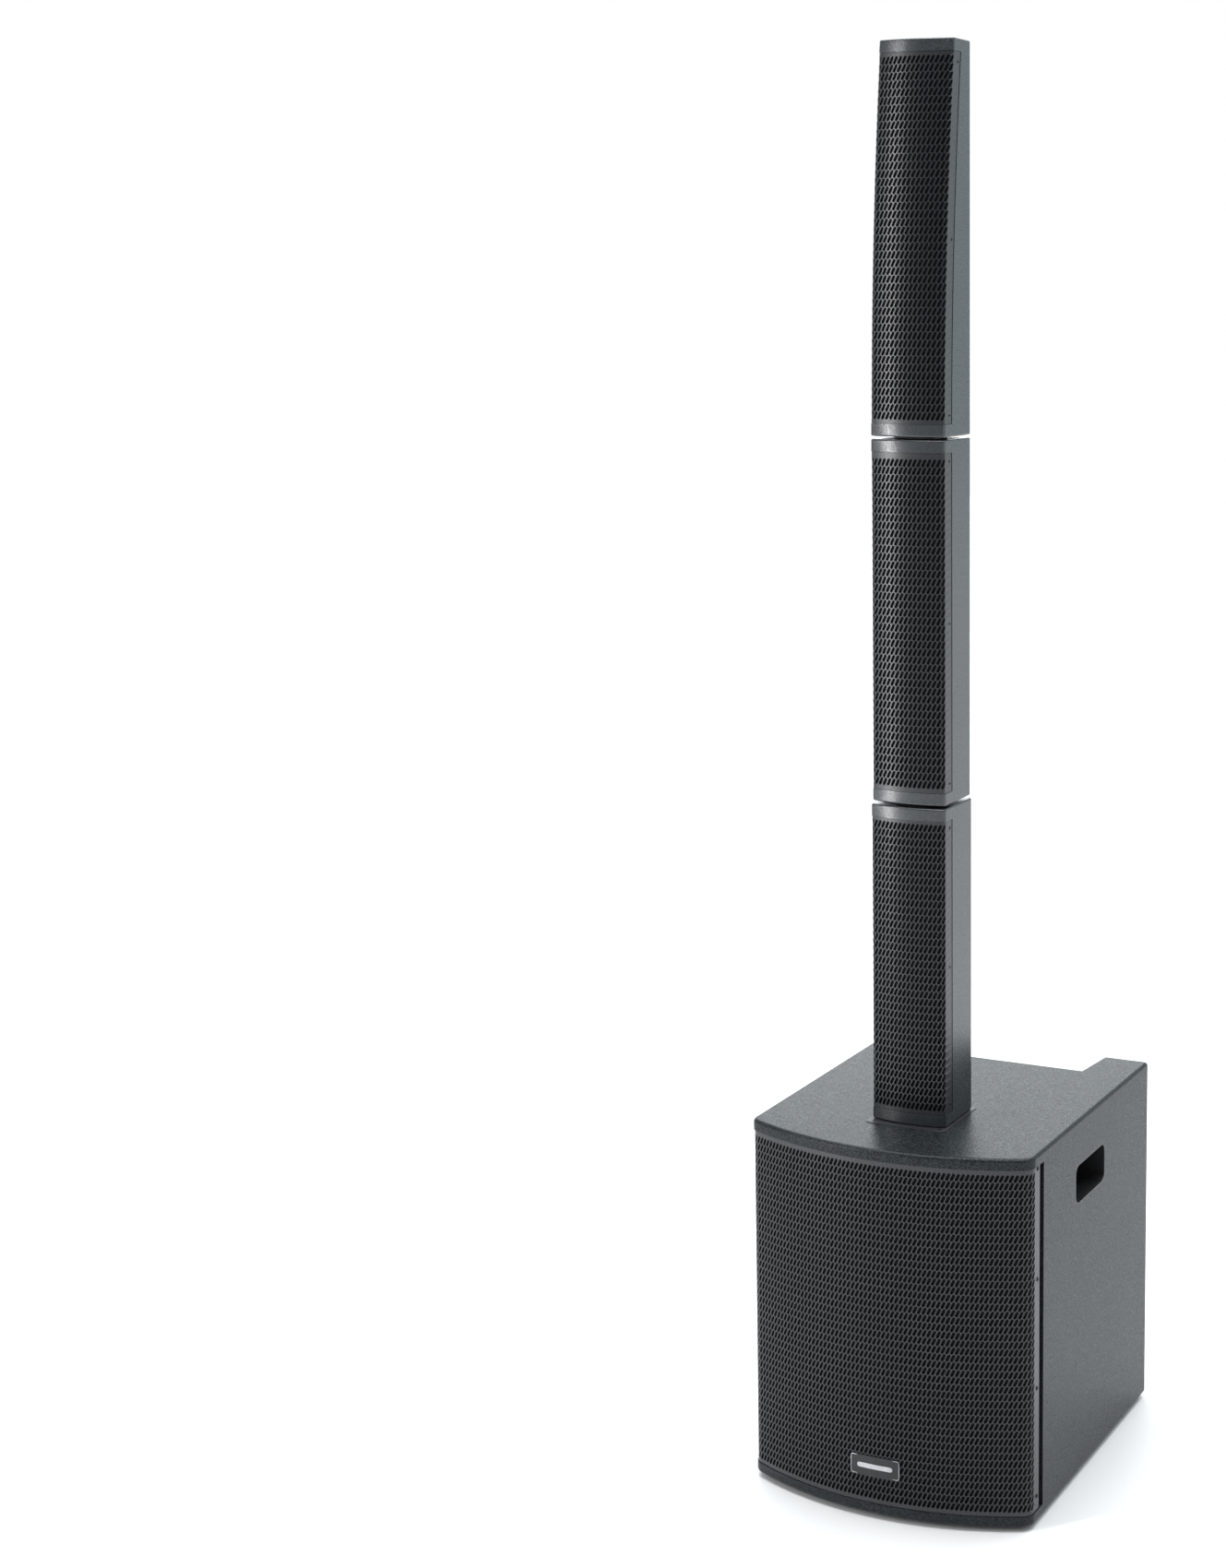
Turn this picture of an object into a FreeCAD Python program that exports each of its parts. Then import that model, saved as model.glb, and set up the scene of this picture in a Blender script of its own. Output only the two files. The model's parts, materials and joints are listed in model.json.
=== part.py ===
import FreeCAD, Part
import math
import os
import Sketcher

# Column loudspeaker system: a bass cabinet on the floor with three column modules plugged
# together on top of it. The frame has +Z up and the listening side towards -Y. The origin is
# on the floor, at the centre of the cabinet's footprint. Lengths are in millimetres.

V = FreeCAD.Vector
UP, DOWN = V(0, 0, 1), V(0, 0, -1)
FORWARD, BACKWARD = V(0, -1, 0), V(0, 1, 0)
RIGHT, LEFT = V(1, 0, 0), V(-1, 0, 0)
FAR = 600  # beyond the object's surface on any side, for cutting tools

DIMENSIONS = {
    # bass cabinet
    "cabinet_width": 400,
    "cabinet_depth": 438,
    "cabinet_height": 491,
    "front_bulge": 47,
    "corner_radius": 18,
    "edge_radius": 5,
    "wall": 15,
    "band": 14.7,
    "foot_height": 6,
    "foot_radius": 20,
    "flange_length": 27,
    "groove_width": 11,
    "groove_depth": 8,
    "seat_depth": 2.8,
    # recess for the amplifier, open to the rear and to the top
    "recess_width": 258,
    "recess_flare": 8,
    "recess_depth": 78,
    "recess_floor": 120,
    # perforated steel grilles
    "grille_inset": 1.2,
    "grille_sheet": 1.5,
    "badge_width": 70,
    "badge_height": 27,
    "badge_middle": 71,
    # pocket handles in the side walls
    "handle_width": 112,
    "handle_height": 56,
    "handle_radius": 14,
    "handle_depth": 48,
    "handle_middle_y": 10.5,
    "handle_middle_z": 410,
    "cup_wall": 2.5,
    # woofer and bass ports
    "baffle_front": -187,
    "baffle_thickness": 18,
    "woofer_middle": 300,
    "woofer_cutout": 141,
    "woofer_radius": 155,
    "woofer_bolt_circle": 147.5,
    "port_radius": 32,
    "port_wall": 2.5,
    "port_length": 150,
    "port_middle": 80,
    "port_spacing": 240,
    # column modules
    "column_middle": -89.8,
    "column_bulge": 7.5,
    "column_corner": 4,
    "column_edge": 2.2,
    "column_gap": 3.7,
    "column_wall": 4,
    "column_band": 16,
    "column_flange": 22,
    "column_seam": 1.2,
    "column_grille_inset": 0.5,
    "low_width": 104.9,
    "low_depth": 87.3,
    "low_height": 421.6,
    "mid_width": 102.9,
    "mid_depth": 82.8,
    "mid_height": 467.2,
    "top_width": 102.9,
    "top_depth": 82.8,
    "top_height": 493.3,
    "top_recession": 31,
    # plug-together joint between modules
    "end_plate_width": 86,
    "end_plate_depth": 68,
    "end_plate_thickness": 4,
    "end_plate_radius": 9,
    "pad_width": 56,
    "pad_depth": 46,
    "pad_height": 3.4,
    "pin_radius": 4,
    "pin_length": 58,
    "pin_clearance": 0.08,
    "sleeve_wall": 2,
    "plug_radius": 2,
    "plug_length": 19,
    # socket in the cabinet's top
    "socket_width": 113,
    "socket_depth": 111,
    "socket_proud": 0.8,
    "socket_thickness": 3.3,
    "column_seating": 0.5,
    # amplifier panel
    "panel_thickness": 3,
    "panel_width": 250,
    "panel_low": 127,
    "panel_high": 476,
    "knob_row": 445,
    "knob_spacing": 58,
    "knob_radius": 11,
    "jack_row": 375,
    # fasteners
    "screw_head_radius": 2.9,
    "screw_head_height": 1,
    "screw_shank_radius": 1.5,
    "screw_shank_length": 10,
}

os.makedirs("parts", exist_ok=True)
doc = FreeCAD.newDocument("column_pa_system")
sheet = doc.addObject("Spreadsheet::Sheet", "dims")
for row, (alias, number) in enumerate(DIMENSIONS.items(), start=1):
    sheet.set(f"A{row}", str(number))
    sheet.setAlias(f"A{row}", alias)
doc.recompute()

# Places that several pieces share, as expressions of the sheet
CORNER = "((dims.front_bulge - dims.cabinet_depth) / 2)"
REAR = "((dims.cabinet_depth + dims.front_bulge) / 2)"
CABINET_HALF = "(dims.cabinet_width / 2)"
CABINET_TOP = "(dims.foot_height + dims.cabinet_height)"
FRONT_LOW = "(dims.foot_height + dims.band)"
FRONT_HIGH = f"({CABINET_TOP} - dims.band)"
RECESS_FACE = f"({REAR} - dims.recess_depth)"
PANEL_FACE = f"({RECESS_FACE} + dims.panel_thickness)"
SOCKET_TOP = f"({CABINET_TOP} + dims.socket_proud)"

# The guide pins and the contact plugs, from the middle of a module's end
PIN_PLACES = [(-22, -13), (22, -13), (0, 16)]
PLUG_PLACES = [(-10, 2), (10, 2)]


def value(expression):
    """The number that an expression of the sheet's dimensions gives."""
    return float(sheet.evalExpression(str(expression)))


# ---------------------------------------------------------------- sketches


def base_plane(body, role):
    return next(item for item in body.Origin.OriginFeatures if item.Role == role)


def new_sketch(owner, name, role="XY_Plane", offset="0"):
    """A sketch on one of its body's own planes, or a free one on the floor plane if owner is None."""
    if owner is None:
        return doc.addObject("Sketcher::SketchObject", name)
    sketch = owner.newObject("Sketcher::SketchObject", name)
    sketch.AttachmentSupport = [(base_plane(owner, role), "")]
    sketch.MapMode = "FlatFace"
    sketch.setExpression(".AttachmentOffset.Base.z", offset)
    return sketch


def hold(sketch, kind, *where, expression):
    """Adds a dimension to a sketch and binds it to the sheet."""
    number = sketch.addConstraint(Sketcher.Constraint(kind, *where, value(expression)))
    sketch.setExpression(f"Constraints[{number}]", expression)


def polygon(sketch, corners):
    """A closed outline of straight lines through corners given as pairs of expressions."""
    places = [V(value(x), value(y), 0) for x, y in corners]
    count = len(places)
    for index, place in enumerate(places):
        sketch.addGeometry(Part.LineSegment(place, places[(index + 1) % count]), False)
    for index in range(count):
        sketch.addConstraint(Sketcher.Constraint("Coincident", index, 2, (index + 1) % count, 1))
    for index, (x, y) in enumerate(corners):
        hold(sketch, "DistanceX", -1, 1, index, 1, expression=str(x))
        hold(sketch, "DistanceY", -1, 1, index, 1, expression=str(y))
    return sketch


def mirrored(corners):
    """The corners of a right half, from front to rear, followed by their mirror images."""
    return corners + [(f"0 - ({x})", y) for x, y in reversed(corners)]


def circle(sketch, x, y, radius):
    number = sketch.addGeometry(Part.Circle(V(value(x), value(y), 0), UP, value(radius)), False)
    hold(sketch, "DistanceX", -1, 1, number, 3, expression=str(x))
    hold(sketch, "DistanceY", -1, 1, number, 3, expression=str(y))
    hold(sketch, "Radius", number, expression=str(radius))
    return sketch


def rounded_rectangle(sketch, x, y, width, height, radius):
    """A rectangle with round corners about the point (x, y)."""
    cx, cy, half_w, half_h, r = (value(e) for e in (x, y, f"({width}) / 2", f"({height}) / 2", radius))
    left, right, low, high = cx - half_w, cx + half_w, cy - half_h, cy + half_h
    start = sketch.GeometryCount
    sides = [
        (V(left + r, low, 0), V(right - r, low, 0)),
        (V(right, low + r, 0), V(right, high - r, 0)),
        (V(right - r, high, 0), V(left + r, high, 0)),
        (V(left, high - r, 0), V(left, low + r, 0)),
    ]
    centres = [(right - r, low + r), (right - r, high - r), (left + r, high - r), (left + r, low + r)]
    for index, (side, centre) in enumerate(zip(sides, centres)):
        sketch.addGeometry(Part.LineSegment(*side), False)
        turn = Part.Circle(V(*centre, 0), UP, r)
        first = math.radians(90 * index - 90)
        sketch.addGeometry(Part.ArcOfCircle(turn, first, first + math.pi / 2), False)
    for index in range(4):
        line, arc = start + 2 * index, start + 2 * index + 1
        following = start + (2 * index + 2) % 8
        sketch.addConstraint(Sketcher.Constraint("Tangent", line, 2, arc, 1))
        sketch.addConstraint(Sketcher.Constraint("Tangent", arc, 2, following, 1))
        sketch.addConstraint(Sketcher.Constraint("Horizontal" if index % 2 == 0 else "Vertical", line))
        hold(sketch, "Radius", arc, expression=str(radius))
    hold(sketch, "DistanceY", -1, 1, start, 1, expression=f"({y}) - ({height}) / 2")
    hold(sketch, "DistanceX", -1, 1, start + 2, 1, expression=f"({x}) + ({width}) / 2")
    hold(sketch, "DistanceY", -1, 1, start + 4, 1, expression=f"({y}) + ({height}) / 2")
    hold(sketch, "DistanceX", -1, 1, start + 6, 1, expression=f"({x}) - ({width}) / 2")
    return sketch


def bowed_outline(sketch, section):
    """An outline seen from above: straight sides and rear, and a front bowed outwards as one arc."""
    half, nose, radius, rear = (value(section[key]) for key in ("half", "nose", "radius", "rear"))
    centre = nose + radius
    front = centre - math.sqrt(radius**2 - half**2)
    arc = Part.Arc(V(-half, front, 0), V(0, nose, 0), V(half, front, 0))
    sketch.addGeometry(arc, False)
    corners = [(half, front), (half, rear), (-half, rear), (-half, front)]
    for start, end in zip(corners, corners[1:]):
        sketch.addGeometry(Part.LineSegment(V(*start, 0), V(*end, 0)), False)
    ends = [(0, 2, 1, 1), (1, 2, 2, 1), (2, 2, 3, 1), (3, 2, 0, 1)]
    for join in ends:
        sketch.addConstraint(Sketcher.Constraint("Coincident", *join))
    sketch.addConstraint(Sketcher.Constraint("Vertical", 1))
    sketch.addConstraint(Sketcher.Constraint("Horizontal", 2))
    sketch.addConstraint(Sketcher.Constraint("Vertical", 3))
    sketch.addConstraint(Sketcher.Constraint("PointOnObject", 0, 3, -2))
    hold(sketch, "DistanceX", -1, 1, 1, 1, expression=section["half"])
    hold(sketch, "DistanceX", -1, 1, 3, 1, expression=f"0 - {section['half']}")
    hold(sketch, "DistanceY", -1, 1, 2, 1, expression=section["rear"])
    hold(sketch, "DistanceY", -1, 1, 0, 3, expression=f"{section['nose']} + {section['radius']}")
    hold(sketch, "Radius", 0, expression=section["radius"])
    return sketch


def section(width, bulge, corner, rear):
    """What a bowed outline needs: half width, place of the nose, radius of the front, place of the rear."""
    radius = f"((({width}) / 2)^2 + ({bulge})^2) / (2 * ({bulge}))"
    return {
        "half": f"(({width}) / 2)",
        "nose": f"({corner} - {bulge})",
        "radius": f"({radius})",
        "rear": rear,
    }


def inset(outline, amount):
    """The same outline moved inwards, except at its rear."""
    return {
        "half": f"({outline['half']} - ({amount}))",
        "nose": f"({outline['nose']} + ({amount}))",
        "radius": f"({outline['radius']} - ({amount}))",
        "rear": outline["rear"],
    }


def front_recess(far, groove_end, groove_half, flange_end, seat_half, face, relief):
    """Corners of the space in front of a baffle, with the seats and the grooves of its grille's flanges.

    The relief is a chamfer that keeps the front edges clear of the inside of the grille's round corners.
    """
    right = [
        (far, -FAR),
        (far, groove_end),
        (groove_half, groove_end),
        (groove_half, flange_end),
        (seat_half, flange_end),
        (seat_half, f"{face} + 1.75 * {relief}"),
        (f"{seat_half} - {relief}", face),
    ]
    return mirrored(right)


# ---------------------------------------------------------------- features


def new_body(name):
    return doc.addObject("PartDesign::Body", name)


def pad(body, sketch, length):
    feature = body.newObject("PartDesign::Pad", f"{sketch.Name}_pad")
    feature.Profile = sketch
    feature.setExpression("Length", str(length))
    sketch.Visibility = False
    doc.recompute()
    return feature


def pocket(body, sketch, depth, along=False):
    """Cuts against the sketch plane's direction, or along it, and makes sure that something was cut."""
    before = body.Shape.Volume
    feature = body.newObject("PartDesign::Pocket", f"{sketch.Name}_pocket")
    feature.Profile = sketch
    feature.Reversed = along
    feature.setExpression("Length", str(depth))
    doc.recompute()
    if body.Shape.Volume > before - 1:
        raise RuntimeError(f"{sketch.Name} cuts nothing out of {body.Name}")
    return feature


def matching_edges(shape, test):
    return [f"Edge{number}" for number, edge in enumerate(shape.Edges, start=1) if test(edge)]


def round_edges(body, test, radius):
    """Fillets those edges of a body that pass the test."""
    base = body.Tip
    feature = body.newObject("PartDesign::Fillet", f"{body.Name}_fillet")
    feature.Base = (base, matching_edges(base.Shape, test))
    feature.setExpression("Radius", str(radius))
    body.Tip = feature
    doc.recompute()
    return feature


def is_upright(edge):
    ends = [vertex.Point for vertex in edge.Vertexes]
    return len(ends) == 2 and abs(ends[0].z - ends[1].z) > 1


def is_front_upright(edge):
    """The long front edges of an outline that is carried up."""
    if not is_upright(edge):
        return False
    lower = min(edge.Vertexes, key=lambda vertex: vertex.Point.z)
    return lower.Point.y < value("dims.column_middle")


def lies_at(height):
    """A test for edges that lie in the horizontal plane at that height."""
    return lambda edge: abs(edge.BoundBox.ZMin - height) < 0.01 and abs(edge.BoundBox.ZMax - height) < 0.01


def stand(item, base, direction=UP):
    """Turns a piece made about +Z towards a direction and puts its origin at base, three expressions."""
    item.Placement = FreeCAD.Placement(V(), FreeCAD.Rotation(UP, direction))
    for axis, expression in zip("xyz", base):
        item.setExpression(f".Placement.Base.{axis}", str(expression))
    return item


def turned(name, profile, base=(0, 0, 0), direction=UP):
    """A body of revolution. The profile gives (radius, distance along the axis) pairs."""
    body = new_body(name)
    sketch = polygon(new_sketch(body, f"{name}_profile", "XZ_Plane"), profile)
    feature = body.newObject("PartDesign::Revolution", f"{name}_turn")
    feature.Profile = sketch
    feature.ReferenceAxis = (sketch, ["V_Axis"])
    feature.Angle = 360
    stand(body, base, direction)
    doc.recompute()
    return body


def box(name, low, high):
    """A box between two corners, each given as three expressions."""
    item = doc.addObject("Part::Box", name)
    for side, axis, start, end in zip(("Length", "Width", "Height"), "xyz", low, high):
        item.setExpression(side, f"({end}) - ({start})")
        item.setExpression(f".Placement.Base.{axis}", str(start))
    return item


def rod(name, radius, length, base, direction=UP):
    item = doc.addObject("Part::Cylinder", name)
    item.setExpression("Radius", str(radius))
    item.setExpression("Height", str(length))
    return stand(item, base, direction)


def fuse(name, pieces):
    item = doc.addObject("Part::MultiFuse", name)
    item.Shapes = pieces
    return item


def cut(name, base, tools):
    """The base with every tool taken out of it."""
    tool = tools[0] if len(tools) == 1 else fuse(f"{name}_tools", tools)
    item = doc.addObject("Part::Cut", name)
    item.Base, item.Tool = base, tool
    doc.recompute()
    if item.Shape.Volume > base.Shape.Volume - 0.5:
        raise RuntimeError(f"the tools cut nothing out of {name}")
    return item


def common(name, first, second):
    item = doc.addObject("Part::MultiCommon", name)
    item.Shapes = [first, second]
    return item


def rounded(name, base, test, radius):
    """A Part fillet of the edges that pass the test."""
    doc.recompute()
    size = value(radius)
    numbers = [number for number, edge in enumerate(base.Shape.Edges, start=1) if test(edge)]
    item = doc.addObject("Part::Fillet", name)
    item.Base = base
    item.Edges = [(number, size, size) for number in numbers]
    doc.recompute()
    return item


def copies(name, master, placements):
    """One node of separate, identical solids: the master's shape at each placement."""
    item = doc.addObject("Part::Feature", name)
    item.Shape = Part.makeCompound([master.Shape.transformed(p.toMatrix(), True) for p in placements])
    return item


def facing(point, direction):
    """A placement that moves a piece made about +Z to a point and turns it towards a direction."""
    return FreeCAD.Placement(V(*point), FreeCAD.Rotation(UP, direction))


def extruded(name, outline, low, high):
    """A prism of a flat sketch between two heights."""
    item = doc.addObject("Part::Extrusion", name)
    item.Base = outline
    item.DirMode = "Custom"
    item.Dir = UP
    item.Solid = True
    item.setExpression("LengthFwd", f"({high}) - ({low})")
    item.setExpression(".Placement.Base.z", str(low))
    return item


# ---------------------------------------------------------------- fasteners


def make_screw(name, head_radius, head_height, shank_radius, shank_length):
    """A pan-head screw about +Z with its seat at the origin, and the hole that it needs.

    The screw has a socket in its head, and the hole's tool has none.
    """
    socket = f"({head_radius}) * 0.45"
    socket_floor = f"({head_height}) * 0.3"
    below = [
        ("0", f"0 - ({shank_length})"),
        (shank_radius, f"0 - ({shank_length})"),
        (shank_radius, "0"),
        (head_radius, "0"),
    ]
    head = [
        (head_radius, f"({head_height}) * 0.6"),
        (f"({head_radius}) * 0.8", head_height),
        (socket, head_height),
        (socket, socket_floor),
        ("0", socket_floor),
    ]
    hole_top = [(head_radius, head_height), ("0", head_height)]
    return turned(name, below + head), turned(f"{name}_hole", below + hole_top)


def screw_set(name, kind, places):
    """One node of equal screws, and the tool that cuts their holes."""
    screw, hole = kind
    return copies(name, screw, places), copies(f"{name}_holes", hole, places)


small_screw = make_screw(
    "small_screw",
    "dims.screw_head_radius",
    "dims.screw_head_height",
    "dims.screw_shank_radius",
    "dims.screw_shank_length",
)
tiny_screw = make_screw("tiny_screw", 1.7, 0.5, 0.9, 4)
large_screw = make_screw("large_screw", 4.5, 3, 2.5, 20)

GRILLE_SCREW_HEIGHTS = [40, 186, 332, 478]
FOOT_PLACES = [(-150, -165), (150, -165), (-150, 200), (150, 200)]


def cabinet_screws():
    """Every small screw of the cabinet: grille flanges, feet, column socket and amplifier panel."""
    flange_x = value(f"{CABINET_HALF} - dims.grille_inset")
    flange_y = value(f"{CORNER} + 20.5")
    places = []
    for height in GRILLE_SCREW_HEIGHTS:
        places.append(facing((flange_x, flange_y, height), RIGHT))
        places.append(facing((-flange_x, flange_y, height), LEFT))
    for x, y in FOOT_PLACES:
        places.append(facing((x, y, value("dims.foot_height") - 3), DOWN))
    socket_x = value("dims.socket_width / 2 - 9")
    socket_y = value("dims.socket_depth / 2 - 9")
    for x in (-socket_x, socket_x):
        for y in (-socket_y, socket_y):
            height = value(f"{SOCKET_TOP} - dims.screw_head_height")
            places.append(facing((x, value("dims.column_middle - 4") + y, height), UP))
    edge_x = value("dims.panel_width / 2 - 5")
    low, high = value("dims.panel_low + 6"), value("dims.panel_high - 6")
    face = value(PANEL_FACE)
    for x in (-edge_x, edge_x):
        for step in range(4):
            places.append(facing((x, face, low + (high - low) * step / 3), BACKWARD))
    return screw_set("cabinet_screws", small_screw, places)


def woofer_screws():
    """Screws that hold the woofer's rim on the baffle."""
    face = value("dims.baffle_front") - 5
    reach = value("dims.woofer_bolt_circle")
    places = []
    for number in range(8):
        angle = 2 * math.pi * (number + 0.5) / 8
        height = value("dims.woofer_middle") + reach * math.sin(angle)
        places.append(facing((reach * math.cos(angle), face, height), FORWARD))
    return screw_set("woofer_screws", large_screw, places)


SCREWS, SCREW_HOLES = cabinet_screws()
WOOFER_SCREWS, WOOFER_SCREW_HOLES = woofer_screws()


# ---------------------------------------------------------------- bass cabinet

CABINET = section("dims.cabinet_width", "dims.front_bulge", CORNER, REAR)


def cabinet_shell():
    """Wooden shell: bowed front, hollow inside, recessed at the rear for the amplifier."""
    shell = new_body("cabinet_shell_blank")
    outline = bowed_outline(new_sketch(shell, "shell_outline", offset="dims.foot_height"), CABINET)
    pad(shell, outline, "dims.cabinet_height")
    round_edges(shell, is_front_upright, "dims.corner_radius")
    round_edges(shell, lambda edge: is_upright(edge) and edge.CenterOfMass.y > value(REAR) - 1, 6)
    low, high = value("dims.foot_height"), value(CABINET_TOP)
    ends = (lies_at(low), lies_at(high))
    round_edges(shell, lambda edge: ends[0](edge) or ends[1](edge), "dims.edge_radius")

    # space in front of the baffle, with the seats and grooves of the grille's flanges
    front = front_recess(
        "dims.cabinet_width",
        f"{CORNER} + dims.flange_length + dims.groove_width",
        f"{CABINET_HALF} - dims.groove_depth",
        f"{CORNER} + dims.flange_length",
        f"{CABINET_HALF} - dims.seat_depth",
        f"{CORNER} + 5.5",
        relief=4,
    )
    sketch = polygon(new_sketch(shell, "front_space", offset=FRONT_HIGH), front)
    pocket(shell, sketch, f"{FRONT_HIGH} - {FRONT_LOW}")

    # the inside, with a housing round the amplifier's recess in its upper part
    inner_half = f"{CABINET_HALF} - dims.wall"
    inner_rear = f"{REAR} - dims.wall"
    housing_half = "dims.recess_width / 2 + dims.recess_flare + dims.wall"
    housing_face = f"{RECESS_FACE} - dims.wall"
    housing_low = "dims.recess_floor - dims.wall"
    below = mirrored([(inner_half, f"{CORNER} + 4"), (inner_half, inner_rear)])
    around = mirrored(
        [
            (inner_half, f"{CORNER} + 4"),
            (inner_half, inner_rear),
            (housing_half, inner_rear),
            (housing_half, housing_face),
        ]
    )
    pocket(shell, polygon(new_sketch(shell, "lower_inside", offset=housing_low), below),
           f"{housing_low} - {FRONT_LOW}")
    pocket(shell, polygon(new_sketch(shell, "upper_inside", offset=FRONT_HIGH), around),
           f"{FRONT_HIGH} - ({housing_low})")

    # the amplifier's recess and the window behind its panel
    recess = mirrored(
        [
            ("dims.recess_width / 2", RECESS_FACE),
            ("dims.recess_width / 2 + dims.recess_flare", REAR),
            ("dims.recess_width / 2 + dims.recess_flare", FAR),
        ]
    )
    pocket(shell, polygon(new_sketch(shell, "amplifier_recess", offset=CABINET_TOP), recess),
           f"{CABINET_TOP} - dims.recess_floor")
    window = rounded_rectangle(
        new_sketch(shell, "amplifier_window", "XZ_Plane", f"0 - {RECESS_FACE}"),
        0,
        "(dims.panel_low + dims.panel_high) / 2",
        "dims.panel_width - 24",
        "dims.panel_high - dims.panel_low - 26",
        8,
    )
    pocket(shell, window, "dims.wall + 1", along=True)

    # openings for the pocket handles, in one cut across both sides
    handles = rounded_rectangle(
        new_sketch(shell, "handle_openings", "YZ_Plane", "dims.cabinet_width"),
        "dims.handle_middle_y",
        "dims.handle_middle_z",
        "dims.handle_width",
        "dims.handle_height",
        "dims.handle_radius",
    )
    pocket(shell, handles, "dims.cabinet_width * 2")

    # seat and opening for the column socket in the top
    seat = rounded_rectangle(
        new_sketch(shell, "socket_seat", offset=CABINET_TOP),
        0, "dims.column_middle - 4", "dims.socket_width", "dims.socket_depth", 6,
    )
    pocket(shell, seat, "dims.socket_thickness - dims.socket_proud")
    opening = rounded_rectangle(
        new_sketch(shell, "socket_opening", offset=CABINET_TOP), 0, "dims.column_middle", 84, 72, 6
    )
    pocket(shell, opening, "dims.band + 2")
    return cut("cabinet_shell", shell, [SCREW_HOLES])


def bowed_prism(name, outline, low, high):
    """A bowed block between two heights."""
    sketch = bowed_outline(new_sketch(None, f"{name}_outline"), outline)
    return extruded(name, sketch, low, high)


def sub_grille():
    """Bowed steel grille with a flange folded back along each side of the cabinet."""
    gap = 0.3
    low, high = f"{FRONT_LOW} + {gap}", f"{FRONT_HIGH} - {gap}"
    skins = []
    for name, amount, corner in (
        ("sub_grille_outside", "dims.grille_inset", "dims.corner_radius - dims.grille_inset"),
        ("sub_grille_inside", "dims.grille_inset + dims.grille_sheet", "dims.corner_radius - 2.7"),
    ):
        block = bowed_prism(name, inset(CABINET, amount), low, high)
        skins.append(rounded(f"{name}_rounded", block, is_front_upright, corner))
    sheet_all_round = cut("sub_grille_skin", skins[0], [skins[1]])
    reach = box("sub_grille_reach", (-FAR, -FAR, low), (FAR, f"{CORNER} + dims.flange_length", high))
    return cut("sub_grille", common("sub_grille_blank", sheet_all_round, reach), [SCREW_HOLES])


def badge():
    """Plain name plate that follows the grille's curve."""
    low = "dims.badge_middle - dims.badge_height / 2"
    high = "dims.badge_middle + dims.badge_height / 2"
    outside = bowed_prism("badge_outside", CABINET, low, high)
    inside = bowed_prism("badge_inside", inset(CABINET, "dims.grille_inset - 0.05"), low, high)
    skin = cut("badge_skin", outside, [inside])
    body = new_body("badge_face")
    face = rounded_rectangle(
        new_sketch(body, "badge_outline", "XZ_Plane", "150"),
        0, "dims.badge_middle", "dims.badge_width", "dims.badge_height", 4,
    )
    pad(body, face, 150)
    return common("badge", skin, body)


def front_baffle():
    """Board behind the grille with the woofer's cut-out and two port holes."""
    body = new_body("front_baffle_blank")
    width = f"{CABINET_HALF} - dims.wall - 0.2"
    corners = mirrored([(width, f"{FRONT_LOW} + 0.2"), (width, f"{FRONT_HIGH} - 0.2")])
    sketch = polygon(new_sketch(body, "baffle_outline", "XZ_Plane", "0 - dims.baffle_front"), corners)
    board = pad(body, sketch, "dims.baffle_thickness")
    board.Reversed = True
    doc.recompute()
    holes = new_sketch(body, "baffle_holes", "XZ_Plane", "0 - dims.baffle_front")
    circle(holes, 0, "dims.woofer_middle", "dims.woofer_cutout")
    for side in (-0.5, 0.5):
        circle(holes, f"{side} * dims.port_spacing", "dims.port_middle", "dims.port_radius + dims.port_wall")
    pocket(body, holes, "dims.baffle_thickness")
    return cut("front_baffle", body, [WOOFER_SCREW_HOLES])


def handle_cup(name, side):
    """Moulded pocket handle: a closed cup that lines one of the side openings."""
    body = new_body(name)
    depth = "dims.handle_depth"
    outline = (0, 0, "dims.handle_width", "dims.handle_height", "dims.handle_radius")
    pad(body, rounded_rectangle(new_sketch(body, f"{name}_outline"), *outline), depth)
    hollow = (
        0,
        0,
        "dims.handle_width - 2 * dims.cup_wall",
        "dims.handle_height - 2 * dims.cup_wall",
        "dims.handle_radius - dims.cup_wall",
    )
    mouth = rounded_rectangle(new_sketch(body, f"{name}_hollow", offset=depth), *hollow)
    pocket(body, mouth, f"{depth} - dims.cup_wall")
    round_edges(body, lies_at(value(f"dims.cup_wall")), 3)
    turn = FreeCAD.Rotation(V(0, side, 0), V(0, 0, 1), V(side, 0, 0), "ZXY")
    body.Placement = FreeCAD.Placement(V(), turn)
    body.setExpression(".Placement.Base.x", f"{side} * ({CABINET_HALF} - {depth})")
    body.setExpression(".Placement.Base.y", "dims.handle_middle_y")
    body.setExpression(".Placement.Base.z", "dims.handle_middle_z")
    return body


def feet():
    """Four rubber feet, each with a well for its screw."""
    well = 3.1
    profile = [
        (1.6, 3),
        (well, 3),
        (well, 0),
        ("dims.foot_radius - 2", 0),
        ("dims.foot_radius", 1.5),
        ("dims.foot_radius", "dims.foot_height"),
        (1.6, "dims.foot_height"),
    ]
    foot = turned("foot", profile)
    return copies("feet", foot, [facing((x, y, 0), UP) for x, y in FOOT_PLACES])


# ---------------------------------------------------------------- woofer

# Profiles are turned about an axis through the woofer, from the baffle's front face forwards
WOOFER_AT = (0, "dims.baffle_front", "dims.woofer_middle")


def woofer_piece(name, profile):
    return turned(name, profile, WOOFER_AT, FORWARD)


def polar_pattern(body, feature, sketch, count):
    """Repeats a feature round its sketch's normal."""
    pattern = body.newObject("PartDesign::PolarPattern", f"{feature.Name}_pattern")
    pattern.Originals = [feature]
    pattern.Axis = (sketch, ["N_Axis"])
    pattern.Angle = 360
    pattern.Occurrences = count
    body.Tip = pattern
    doc.recompute()
    return pattern


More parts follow.
